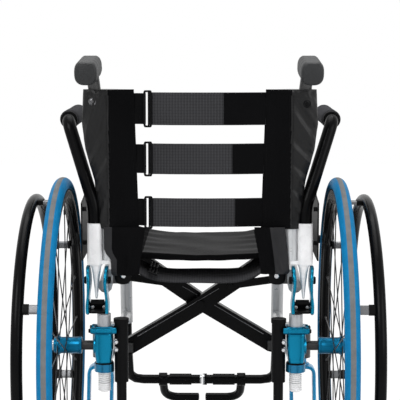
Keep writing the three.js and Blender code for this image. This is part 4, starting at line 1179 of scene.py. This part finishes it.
    def screw(self) -> None:
        """Cup washer and screw that hold the sleeve on the cane."""
        x, y = BACK.cane_at(self.cut.screw)
        cup = [(0, -2.6), (2.4, -2.6), (2.7, -2.0), (4.2, -1.4), (6.2, -2.0), (6.8, -1.2),
               (6.8, 0.6), (0, 0.6)]
        skin = Skin().turn(cup, (self.sign * (x + 5), y - BACK.hem + 0.1, self.cut.screw), 32, "y")
        self.put(skin, "sleeve_screw", self.cut.screw_finish, "steel", "back")

    def flap(self) -> None:
        """Lower flap of cloth that hangs from the sleeve, in folds that deepen downwards. Its inner
        part is hook-and-loop tape."""
        cut, columns = self.cut, 56
        height = np.linspace(self.flap_top, cut.flap_heights[0], 60)[:, None]
        run = np.linspace(0, 1, columns)
        share = (self.flap_top - height) / (self.flap_top - cut.flap_heights[0])
        outer = np.interp(height, cut.flap_heights, cut.flap_edges)
        inner = 94 + 11 * share + 1.2 * np.sin(share * 2.4)
        folds = 2.2 * np.sin(run * 9 + share * 3.4) + 1.1 * np.sin(run * 19 - share * 5 + 1)
        folds = folds + 0.7 * np.sin(share * 14 + run * 6)
        arch = np.sin(np.pi * run)
        y = -14.2 + folds * np.sqrt(share) * (0.5 + 0.5 * arch) - 2.6 * arch * share + 3 * share
        points = self.mirror(line(inner + (outer - inner) * run, y, height))
        obj = self.piece(Skin().add(points, closed=False), "back_flap", "flap")
        column = np.arange(len(obj.data.polygons)) % (columns - 1)
        second_finish(obj, "loop", column < (columns - 1) * cut.tape)
        thicken(obj, 0.0018)
        unwrap(obj, X_WAY, Z_WAY)
        self.settle(obj, "black_nylon", "back")
        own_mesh(obj)

    def armrest(self) -> None:
        """Bent tube of the armrest, its foam pad with a rounded tip, and the ring behind it."""
        x, z = self.arm
        path = bent_path([(183, 0, 512.3), (183, 0, 540), (x, 30, z), (x, 223.7, z)], [70, 26], 14)
        tube = Skin().tube(path, circle(self.arm_radius, 32), X_WAY, self.sign)
        self.put(tube, "arm_tube", "black", "black_metal", "armrest", "armrest_tube")
        centre = (self.sign * x, 54, z)
        foam = [(11.6, 0.4), (15.2, 0.2), (16.4, 1.6), (16.8, 4), (16.8, 40), (16.5, 90),
                (16.8, 140), (16.8, 168), *arc(5, 170, 11.7, 0, 90, 10), (0.01, 181.9)]
        pad = self.piece(Skin().turn(foam, centre, 48, "y"), "arm_pad", "foam")
        self.settle(pad, "grey_foam", "armrest", "armrest_pad")
        collar = [(11.45, -7), (14.5, -7), (15.2, -6), (15.2, -0.6), (14.5, 0.1), (11.45, 0.1),
                  (11.45, -7)]
        band = Skin().turn(collar, centre, 48, "y")
        self.put(band, "arm_ring", "deep", "black_metal", "armrest")


@dataclass
class BackHinge(Sided):
    """Folding hinge of one side: two waisted plates, the tapering post and its bolts."""

    foot: float = 352.0
    pivot: float = 411.0
    waist: float = 384.0
    head: float = 26.0
    roof: float = 437.0
    middle: float = 178.5

    def build(self) -> None:
        """Makes the plates, their core and bolts, and the post."""
        self.plates()
        self.core()
        self.bolts()
        self.post()

    def plates(self) -> None:
        """Two plates whose edges swell at the pivot and at the latch and draw in between."""
        height = np.concatenate([np.linspace(self.foot, self.foot + 3, 4),
                                 np.linspace(358, 425, 40), np.linspace(427, 436.6, 12)])
        rise = height - self.foot
        waist = 1 - 0.22 * bell(height, self.waist, 13)
        half = np.where(height < self.pivot, (20 + 6 * rise / (self.pivot - self.foot)) * waist,
                        np.sqrt(np.clip(self.head ** 2 - (height - self.pivot) ** 2, 4, None)))
        half = half * np.minimum(1, 0.7 + 0.3 * rise / 3)
        wave = 1.3 * np.sin(rise / 85 * CIRCLE + 0.6)
        thick = 6.6 - 1.6 * bell(height, self.waist, 10)
        thick = thick * np.minimum(1, 0.6 + 0.4 * np.minimum(rise, self.roof - height) / 3)
        skin = Skin()
        for x in (163.2 - wave, 194.6 + wave):
            skin.add(self.column(height, x, thick, 2 * half, 5))
        self.put(skin, "hinge_plates", "hinge", "blue_anodised", "frame", "hinge_bracket")

    def core(self) -> None:
        """Black bridge between the plates in front, on a thin base."""
        skin = Skin()
        bridge, base = np.linspace(355, 367.5, 12), np.linspace(354.4, 357.5, 6)
        skin.add(self.column(bridge, self.middle, 30.0, 15.0, 6, 22.0))
        skin.add(self.column(base, self.middle, 30.0, 34.0, 6, 2.0))
        self.put(skin, "hinge_core", "deep", "black_metal", "frame")

    def bolts(self) -> None:
        """Pivot bolt's head and nut, and the two screws of the bridge."""
        head = [(0, 197.6), (6.6, 197.6), (6.8, 200.2), (5.6, 201.8), (2.8, 202), (2.2, 200.4),
                (0, 200.4)]
        nut = [(0, 155.2), (2.6, 155.2), (6.0, 155.6), (6.6, 157.0), (6.6, 160.5), (0, 160.5)]
        skin = Skin()
        for profile in (head, nut):
            skin.turn(self.across(profile), (0, 0, self.pivot), 28)
        self.put(skin, "hinge_bolts", "deep", "steel", "frame")
        skin = Skin()
        profile = [(0, 8.6), (3.0, 8.6), (3.4, 9.4), (3.4, 14.6), (0, 14.6)]
        for x, facets in ((168.6, 20), (188.4, 6)):
            skin.turn(profile, (self.sign * x, 0, 361.0), facets, "y")
        self.put(skin, "hinge_screws", "steel", "steel", "frame")

    def post(self) -> None:
        """White post: a round tube that draws in to a blade between the plates."""
        height = np.concatenate([
            np.linspace(379.3, 384, 5), np.linspace(386, 434, 24), np.linspace(435.5, 440, 12),
            np.linspace(444, 510, 10), [511.4, 512.0]])
        width = np.interp(height, [379, 382, 400, 424, 435, 437.6, 439.2, 510, 511.4, 512],
                          [3.4, 4.6, 7.5, 13.5, 17.5, 22, 27, 27, 26.6, 25.4])
        depth = np.interp(height, [379, 384, 424, 437, 440, 511.4, 512],
                          [15, 19, 22, 24, 27, 26.6, 25.4])
        x = np.interp(height, [379, 424, 437, 439.4], [180.5, 180.5, 180.8, 183.0])
        skin = Skin().add(self.column(height, x, width, depth, 2.6))
        skin.add(self.column(np.linspace(440.5, 447, 6), 166.0, 32.0, 20.0, 4, 1.0))
        self.put(skin, "post", "white", "white_paint", "back", "back_post")


@dataclass
class AxleMount(Sided):
    """Blue clamp of the axle on the upright, with its cross bolts, lower ring, plug and nuts."""

    x: float = 168.0
    barrels: tuple[float, float] = (-15.4, 15.4)
    barrel_height: float = 323.8

    def build(self) -> None:
        """Makes the clamp and what sits on it."""
        self.clamp()
        self.rings()
        self.plug()

    def clamp(self) -> None:
        """Wrapped body, flange with two barrels, and the axle's receiver."""
        skin = Skin()
        low, high = [266, 266.6, 268], [316.4, 317.6, 318]
        height = np.concatenate([low, np.linspace(271, 314, 22), high])
        bulge = 1.04 - 0.14 * np.clip((298 - height) / 27, 0, 1) ** 2
        ends = np.interp(height, low + high, [0.94, 0.98, 1, 1, 0.98, 0.94])
        skin.add(self.column(height, 168.7, 31.5 * ends * bulge, 35 * ends, 4))
        trim = np.array([0.95, 0.98, 1, 1, 0.98, 0.95])
        height = np.array([317.5, 318, 319, 328.6, 329.6, 330.0])
        skin.add(self.column(height, self.x, 36 * trim, 32 * trim, 6))
        barrel = [(0, -21.4), (4.6, -21.4), (5.6, -20.2), (5.8, -13), (4.9, -12), (4.9, 14),
                  (5.8, 15), (5.6, 22.8), (4.6, 24.0), (0, 24.0)]
        for y in self.barrels:
            skin.turn(self.across(barrel), (self.sign * 166.6, y, self.barrel_height), 32)
        receiver = [(6.6, 168), (15.2, 168), (16, 169), (16, 184.6), (15.2, 186), (9.0, 186.4),
                    (6.6, 186.4), (6.6, 168)]
        skin.turn(self.across(receiver), (0, 0, AXLE_HEIGHT), 48)
        self.put(skin, "clamp_body", "clamp", "blue_anodised", "frame", "axle_clamp")

    def rings(self) -> None:
        """Dark ring under the clamp, and the bolts' ends in the barrels."""
        band = [(12.3, 259.0), (15.2, 259.0), (16.4, 260.2), (16.4, 264.8), (15.2, 266.0),
                (12.3, 266.0), (12.3, 259.0)]
        bolt = [(0, 190.2), (3.6, 190.2), (3.6, 193.6), (2.9, 194.2), (0, 194.2)]
        skin = Skin().turn(band, (self.sign * self.x, 0, 0), 48, "z")
        for y in self.barrels:
            skin.turn(self.across(bolt), (0, y, self.barrel_height), 20)
        self.put(skin, "clamp_ring", "deep", "black_metal", "frame")

    def plug(self) -> None:
        """White ribbed plug between the clamp and the anti-tip sleeve, and the sleeve's nuts."""
        ribs = [(0, 213.0), (8.0, 213.0)]
        for low in np.arange(214.0, 256.0, 3.9):
            ribs += [(9.6, low), (11.2, low + 0.7), (11.2, low + 1.9), (9.6, low + 2.6)]
        ribs += [(8.7, 260.0), (0, 260.0)]
        skin = Skin().turn(ribs, (self.sign * self.x, 0, 0), 40, "z")
        self.put(skin, "ribbed_plug", "white", "frame_paint", "frame")
        nut = [(0, -3.4), (3.0, -3.4), (4.2, -2.2), (4.4, 0.8), (5.4, 1.0), (5.4, 2.2), (0, 2.2)]
        skin = Skin()
        for y, z in ((-10.5, 303.0), (-9.0, 289.0)):
            skin.turn(nut, (self.sign * 146.0, y, z), 6, "y")
        self.put(skin, "sleeve_nuts", "steel", "steel", "frame")


@dataclass(frozen=True)
class Strap:
    """One strap of the back: its name, upper edge, width and where its overlap starts."""

    name: str
    top: float
    height: float
    overlap: float


STRAPS = (Strap("upper", 739.0, 56.0, 41.0), Strap("middle", 651.0, 53.0, 56.0),
          Strap("lower", 556.0, 50.0, 61.0))


@dataclass
class BackStraps:
    """The tension straps across the back, each with its slider buckle."""

    buckle: float = -89.0
    bow: float = 9.0
    half_span: float = 108.0
    foot: float = -106.0

    def behind(self, x: Number, middle: float) -> Number:
        """Place along the chair of a strap's middle surface, bowed to the rear."""
        return BACK.cane_at(middle)[1] - self.bow * (1 - (x / self.half_span) ** 2)

    def band(self, name: str, finish: str, span: tuple[float, float], top: float, height: float,
             lift: float, thickness: float) -> bpy.types.Object:
        """A flat band between two side places, with softly rolled edges.

        Args:
            name: the piece's name.
            finish: the finish's key.
            span: first and last side place.
            top: height of its upper edge.
            height: its width.
            lift: how far behind the middle surface it lies.
            thickness: its thickness.

        Returns:
            The piece.
        """
        x = np.linspace(*span, 60)
        middle = top - height / 2
        path = line(x, self.behind(x, middle) - lift + 0.4 * np.sin(x * 0.12 + top), middle)
        section = rounded_box(thickness, height, 7, 40)
        section[:, 0] += 0.25 * np.sin(section[:, 1] * 0.22)
        piece = Skin().tube(path, section, Z_WAY).piece(name, finish)
        unwrap(piece, X_WAY, Z_WAY)
        return piece

    def gather(self, piece: bpy.types.Object, replaced: str = "") -> None:
        """Puts a piece on the left half of the back, so that it moves with that half, and gives it
        a mesh of its own.
        """
        settle(piece, "back_left", replaced)
        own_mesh(piece)

    def slider(self, strap: Strap) -> bpy.types.Object:
        """Slider buckle: a superellipse loop swept through a small section, with a middle bar.

        Args:
            strap: the strap that it holds.

        Returns:
            The piece.
        """
        middle = strap.top - strap.height / 2
        depth = self.behind(self.buckle, middle) - 3.2
        half_x, half_z = 6.4, strap.height / 2 + 2.4
        loop = ring(72, 7)
        section = ((-2.0, 0.0), (-2.0, 2.6), (0.6, 3.0), (1.4, 1.5), (0.8, -0.4), (-2.0, 0.0))
        grow, rear = np.array(section).T[..., None]
        skin = Skin().add(line(self.buckle + loop[:, 0] * (half_x + grow), depth - rear,
                               middle + loop[:, 1] * (half_z + grow)), caps=False)
        z = np.linspace(middle - half_z, middle + half_z, 8)
        skin.tube(line(self.buckle + 1.4, depth - 1.4, z), rounded_box(3.2, 2.6, 3, 16), X_WAY)
        return skin.piece(f"strap_buckle_{strap.name}", "plastic")

    def build(self) -> None:
        """Makes the band, overlap, tail and buckle of every strap."""
        for strap in STRAPS:
            name, top, height = strap.name, strap.top, strap.height
            edge = BACK.inner_edge(top - height)
            webbing = self.band(f"strap_{name}", "webbing", (self.buckle + 1, edge + 1.6), top,
                                height, 0.0, 2.6)
            self.gather(webbing, f"back_strap_{name}")
            overlap = self.band(f"strap_loop_{name}", "loop", (strap.overlap, edge + 1.2), top - 1,
                                height - 2, 2.4, 1.9)
            self.gather(overlap)
            tail = self.band(f"strap_tail_{name}", "hem", (-edge - 1.6, self.buckle - 3.6),
                             top - 1.5, height - 3, 0.0, 3.4)
            self.gather(tail)
            self.gather(self.slider(strap))


@dataclass
class Seat:
    """Seat sling with its side wraps, hems and under-seat tension straps."""

    rail: float = 136.0
    rail_radius: float = 11.0
    rear: float = 82.0
    front: float = 366.0
    hang: float = 42.0
    strap_width: float = 50.0

    def rail_height(self, place: Number) -> Number:
        """Height of the seat rails' middle along the chair."""
        return 432.0 + (place - 24) * 0.03

    def dip(self, place: Number) -> Number:
        """Sag of the cloth at its middle: a little at the rear edge and more at the front."""
        return 6.5 + 9.5 * (place - self.rear) / (self.front - self.rear)

    def sheet(self, name: str, finish: str, span: tuple[float, float], lift: float,
              sag: float | None, rows: int, wall: float, tilt: float = 0.0) -> bpy.types.Object:
        """Cloth over both rails: a quarter turn round each rail and a sagging span between them,
        with pulls that run from the rails.

        Args:
            name: the piece's name.
            finish: the finish's key.
            span: rear and front edge.
            lift: clearance over the rails.
            sag: depth of the span, or None for the seat's own dip.
            rows: points along the chair.
            wall: length of the side walls below the rails' middle.
            tilt: how steeply the middle rises from the rear edge to the front.

        Returns:
            The piece.
        """
        reach = self.rail_radius + lift
        y = np.linspace(*span, rows)[:, None]
        turn = np.linspace(np.pi, np.pi / 2, 10)
        left = np.stack([-self.rail + reach * np.cos(turn), reach * np.sin(turn)], -1)
        run = np.linspace(-1, 1, 61)[1:-1]
        top = np.stack([run * self.rail, np.full_like(run, reach)], -1)
        side = np.stack([np.full(3, -self.rail - reach), np.linspace(-wall, 0, 4)[:-1]], -1)
        left = np.concatenate([side, left])
        x, rise = np.concatenate([left, top, left[::-1] * np.array([-1, 1])]).T
        share = np.clip(x / self.rail, -1, 1)
        own = 2.0 + 2.0 * (y - span[0]) / (span[1] - span[0])
        middle = 1 - np.abs(share) ** (own if sag is None else 4.0)
        depth = self.dip(y) if sag is None else sag
        pulls = 1.1 * np.sin(y * 0.11 + 2 * share) * np.abs(share) ** 3 * middle * 4
        folds = 0.7 * np.sin(y * 0.05 + share * 5) * middle
        z = self.rail_height(y) + rise - depth * middle + pulls + folds
        z = z + tilt * (y - (span[0] + span[1]) / 2) * middle
        piece = Skin().add(line(x, y, z), closed=False).piece(name, finish)
        unwrap(piece, X_WAY, Y_WAY)
        return piece

    def cross(self, piece: bpy.types.Object) -> None:
        """Bakes a piece's transform into its mesh, and logs it as lying over the cross brace.

        Args:
            piece: the piece.
        """
        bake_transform(piece)
        LOG.info("piece %s over the brace", piece.name)

    def build(self) -> None:
        """Makes the sling, its hems and the tension straps below."""
        sling = self.sheet("seat_cloth", "seat", (self.rear, self.front), 1.6, None, 90, 8.0)
        second_finish(sling, "loop", side_places(sling) > 0.102)
        thicken(sling, 0.0024, 1.0)
        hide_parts("seat_sling")
        self.cross(sling)
        self.hem("rear", self.rear + 0.6, -2.6, 2.0)
        self.hem("front", self.front - 0.6, 2.6, 4.0)
        for name, place in (("rear", 46.0), ("front", 98.0)):
            strap = self.sheet(f"tension_strap_{name}", "strap", (place, place + self.strap_width),
                               -1.0, self.hang, 10, 0.5, 0.08)
            thicken(strap, 0.002)
            self.cross(strap)
            self.buckle(name, place + self.strap_width / 2)
        for side, body in (("left", "brace_front"), ("right", "brace_rear")):
            RailEnd(side).build(body, self.rail)
        # painted highlight lines on the two black cross tubes
        self.painted_highlight_line("rear", -1.0, 155.0)
        self.painted_highlight_line("front", 1.0, 177.0)

    def painted_highlight_line(self, name: str, low_side: float, face: float) -> None:
        """Painted highlight: a thin raised line of light grey steel along the rear face of a cross
        tube, near its upper edge, standing in for the light that the black tube catches there.

        Args:
            name: which tube.
            low_side: side of the tube's lower end, as -1 or 1.
            face: where the rear face lies along the chair.
        """
        x = np.linspace(-118, 34, 6)
        path = line(-low_side * x, face - 0.1, 336 + 0.6 * x + 10.5)
        # light grey steel bead that paints the black tube's highlight
        skin = Skin().tube(path, circle(0.9, 10), Y_WAY)
        skin.put(f"painted_highlight_line_{name}", "screw", f"brace_{name}", "steel")

    def hem(self, name: str, place: float, out: float, power: float) -> None:
        """Rolled hem along one edge of the sling: a soft flat roll that hangs below the edge.

        Args:
            name: which edge.
            place: where it lies along the chair.
            out: twice how far it stands out from the edge.
            power: how flat the middle of the span is.
        """
        x = np.linspace(-118, 118, 80)
        top = self.rail_height(place) + self.rail_radius + 3.6
        top = top - self.dip(place) * (1 - np.abs(x / self.rail) ** power)
        path = line(x, place + out * 0.5, top - 5.0 + 0.3 * np.sin(x * 0.13))
        skin = Skin().tube(path, rounded_box(3.4, 10.4, 3, 24), Z_WAY)
        roll = skin.piece(f"seat_hem_{name}", "hem")
        unwrap(roll, X_WAY, Z_WAY)
        self.cross(roll)

    def buckle(self, name: str, place: float) -> None:
        """Ladder buckle on a tension strap, near the left rail.

        Args:
            name: which strap.
            place: where the strap's middle lies along the chair.
        """
        skin = Skin()
        reach = self.strap_width / 2 + 2
        bars = [(x, np.linspace(place - reach, place + reach, 10), (3.0, 3.4))
                for x in (-90.0, -84.5, -79.0)]
        bars += [(np.linspace(-92.0, -77.0, 8), place + end, (3.6, 3.6)) for end in (-reach, reach)]
        for x, y, size in bars:
            z = self.rail_height(place) + 7.0 - self.hang * (1 - (x / self.rail) ** 2)
            skin.tube(line(x, y, z), rounded_box(*size, 3, 16), Z_WAY)
        skin.put(f"tension_buckle_{name}", "plastic", "brace_front", "black_plastic")


@dataclass
class RailEnd(Sided):
    """Moulded end shoe of one seat rail, with its cross screw."""

    def build(self, body: str, rail: float) -> None:
        """Makes the shoe and its screw.

        Args:
            body: the half of the brace that carries the rail.
            rail: the rail's distance from the middle of the chair.
        """
        height = np.array([399.5, 400.6, 404, 410, 418, 430, 440, 444, 445.5, 446.0])
        width = np.array([8, 17, 25, 29, 30, 29, 26, 20, 14, 8])
        depth = np.array([2.4, 3.6, 4.4, 5, 5, 5, 4.6, 4, 3.2, 2.2])
        shoe = Skin().add(self.column(height, rail, width, depth, 3, 21.0))
        shoe.put(f"rail_shoe_{self.side}", "deep", body, "black_plastic")
        profile = [(0, -1.0), (3.2, -1.0), (4.4, 0.0), (4.6, 2.4), (0, 2.4)]
        screw = Skin().turn(profile, (self.sign * (rail - 1), 17.6, 415), 20, "y")
        screw.put(f"rail_screw_{self.side}", "steel", body, "steel")


@dataclass
class Caster(Sided):
    """One caster: rubber tread on a plastic core, in its fork."""

    place: Point = (204.0, 320.0, 52.0)
    stem: float = 362.0
    half_gap: float = 23.0
    band: float = 7.4

    def build(self) -> None:
        """Makes the tread, the core, the fork and the axle."""
        x, y, z = self.place
        x *= self.sign
        tread = both_ways([(36, 9), (41, 11.6), (46, 11.6)], arc(41, 0, 11, -72, 72, 15))
        core = both_ways([(4.4, 13), (10, 13), (11.5, 11.5), (13, 8), (24, 5), (32, 7),
                          (36.3, 9.4)])
        self.put(Skin().turn(tread, (x, y, z), 72), "caster_tread", "rubber", "caster_rubber",
                 "caster_roll", "caster_wheel")
        self.put(Skin().turn(core, (x, y, z), 72), "caster_core", "plastic", "black_plastic",
                 "caster_roll")
        crown = [(0, 167.5), (12.6, 167.5), (13.6, 169), (13.6, 174.6), (12.6, 176), (8.0, 176.6),
                 (8.0, 235.6), (0, 235.6)]
        fork = self.arch().turn(crown, (x, self.stem, 0), 36, "z")
        self.put(fork, "fork_arch", "fork", "blue_paint", "caster", "caster_fork")
        axle = both_ways([(0, 29), (3.4, 29), (6.0, 28.4), (6.2, 26.4), (3.9, 26.2)])[:-1]
        bolt = Skin().turn(axle, (x, y, z), 32)
        self.put(bolt, "caster_axle", "steel", "steel", "caster")

    def arch(self) -> Skin:
        """One flat band bent over the wheel: straight legs, which narrow towards the axle, and a
        superellipse arch between them.

        Returns:
            The fork's skin.
        """
        angle = np.linspace(np.pi, 0, 25)
        over = np.sign(np.cos(angle)) * np.abs(np.cos(angle)) ** 0.55
        over = np.stack([self.half_gap * over, np.full(25, 358.0),
                         143.0 + 27.0 * np.abs(np.sin(angle)) ** 0.55], -1)
        down = np.array([-self.half_gap, self.place[1], 44.0])
        left = down + (over[0] - down) * np.linspace(0, 1, 14)[:, None]
        right = (left * np.array([-1, 1, 1]))[::-1]
        path = np.concatenate([left[:-1], over, right[1:]])
        deep = np.interp(path[:, 2], [44, 48, 58, 141, 170], [10, 20, 23, 30, 32])
        sizes = np.stack([np.full_like(deep, self.band), deep], -1)
        path[:, 0] += self.sign * self.place[0]
        return Skin().tube(placed(path), rounded_box(1.0, 1.0, 5, 28) * sizes[:, None, :], Y_WAY)


@dataclass
class FootLoop(Sided):
    """Foot loop of one side: a collar on the foot bar and a thick tube that drops and turns in."""

    bar: tuple[float, float] = (536.0, 96.0)
    start: float = 84.0
    tip: float = 8.0
    drop: float = 50.0
    reach: float = 40.0
    radius: float = 9.0

    def build(self) -> None:
        """Makes the tube with its rounded tip, and the collar."""
        y, z = self.bar
        front, low = y + self.reach, z - self.drop
        path = bent_path([(self.start, y, z - 6), (self.start - 3, front, low),
                          (self.tip, front, low)], [34], 18)
        skin = Skin().tube(self.mirror(path), circle(self.radius, 32), Y_WAY)
        tip = self.across([(0, -1.5), (6.0, -1.2), (8.9, 0.4), (8.9, 1.0)])
        skin.turn(tip, (self.sign * self.tip, front, low), 32)
        collar = both_ways([(10.2, 9), (13.4, 9), (14.0, 8)])
        skin.turn(collar, (self.sign * self.start, y, z), 40)
        self.put(skin, "foot_loop_tube", "black", "black_metal", "loop", "foot_loop")


SIDE_NODES = {
    "side_frame": "frame", "rear_upright": "upright", "latch_bar": "deep", "side_guard": "plastic",
    "axle_pin": "axle", "release_button": "steel", "wheel_lock_lever": "deep",
    "antitip_sleeve": "plastic", "antitip_tube": "tip_tube", "antitip_roller": "rubber",
    "legrest": "foot_bar", "folding_link": "deep",
}
MIDDLE_NODES = {"cross_tube_rear": "black", "cross_tube_front": "black"}


# Studio


@dataclass(frozen=True)
class Lamp:
    """A square area lamp in metres and watts."""

    name: str
    place: Point
    aim: Point
    power: float
    size: float

    def build(self) -> None:
        """Puts the lamp in its place, facing its aim."""
        data = bpy.data.lights.new(self.name, "AREA")
        data.energy = self.power
        data.size = self.size
        lamp = bpy.data.objects.new(self.name, data)
        lamp.location = self.place
        aim = Vector(self.aim) - Vector(self.place)
        lamp.rotation_euler = aim.to_track_quat("-Z", "Y").to_euler()
        bpy.context.scene.collection.objects.link(lamp)


@dataclass
class Studio:
    """Camera, lamps, world and floor, in metres and degrees."""

    camera_place: Point = (0.0215, -2.54975, 0.852)
    pitch: float = 7.125
    turn: float = 0.51
    focal: float = 125.6
    sensor: float = 36.0
    lamps: tuple[Lamp, ...] = (
        Lamp("key", (-1.6, -2.4, 2.6), (0, 0, 0.45), 60, 1.6),
        Lamp("fill", (2.2, -2.0, 1.5), (0, 0, 0.4), 34, 1.8),
        Lamp("top", (0.0, 0.4, 2.9), (0, 0, 0.3), 42, 2.0),
    )
    floor_reach: float = 6.0
    floor_height: float = -0.0005

    def build(self) -> None:
        """Makes the camera at the photograph's angle, soft lamps and a pale floor."""
        scene = bpy.context.scene
        scene.view_settings.view_transform = "Standard"
        lens = bpy.data.cameras.new("camera")
        lens.lens = self.focal
        lens.sensor_width = self.sensor
        lens.dof.use_dof = False
        camera = bpy.data.objects.new("camera", lens)
        camera.location = self.camera_place
        camera.rotation_euler = (np.radians(90 - self.pitch), 0.0, np.radians(self.turn))
        scene.collection.objects.link(camera)
        scene.camera = camera
        for lamp in self.lamps:
            lamp.build()
        self.world()
        self.floor()

    def world(self) -> None:
        """White to the camera and in reflections, and a soft grey light elsewhere."""
        world = bpy.data.worlds.new("studio")
        world.use_nodes = True
        bpy.context.scene.world = world
        nodes = Nodes(world.node_tree)
        ray = nodes.node("ShaderNodeLightPath").outputs
        seen = nodes.math("MAXIMUM", ray["Is Camera Ray"], ray["Is Glossy Ray"])
        level = nodes.node("ShaderNodeMapRange", {0: seen, "To Min": 0.5, "To Max": 1.0}).outputs[0]
        inputs = {"Strength": level, "Color": (1.0, 1.0, 1.0, 1.0)}
        nodes.fill(nodes.tree.nodes["Background"], inputs)

    def floor(self) -> None:
        """Pale floor that keeps the object's soft shadow."""
        place = np.linspace(-self.floor_reach, self.floor_reach, 3)
        across, along = np.meshgrid(place, place)
        points = np.stack([across, along, np.full_like(across, self.floor_height)], -1)
        Skin().add(points, closed=False).piece("floor", "floor")


def main() -> None:
    """Builds the studio and every part of the chair."""
    logging.basicConfig(level=logging.INFO, format="%(message)s")
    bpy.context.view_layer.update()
    Studio().build()
    for side in SIDES:
        for node, finish in SIDE_NODES.items():
            dress(f"{node}_{side}", finish)
        for part in (RearWheel, BackHinge, AxleMount, BackSide, FootLoop):
            part(side).build()
    for node, finish in MIDDLE_NODES.items():
        dress(node, finish)
    BackStraps().build()
    Seat().build()
    for side in SIDES:
        Caster(side).build()


if __name__ == "__main__":
    main()
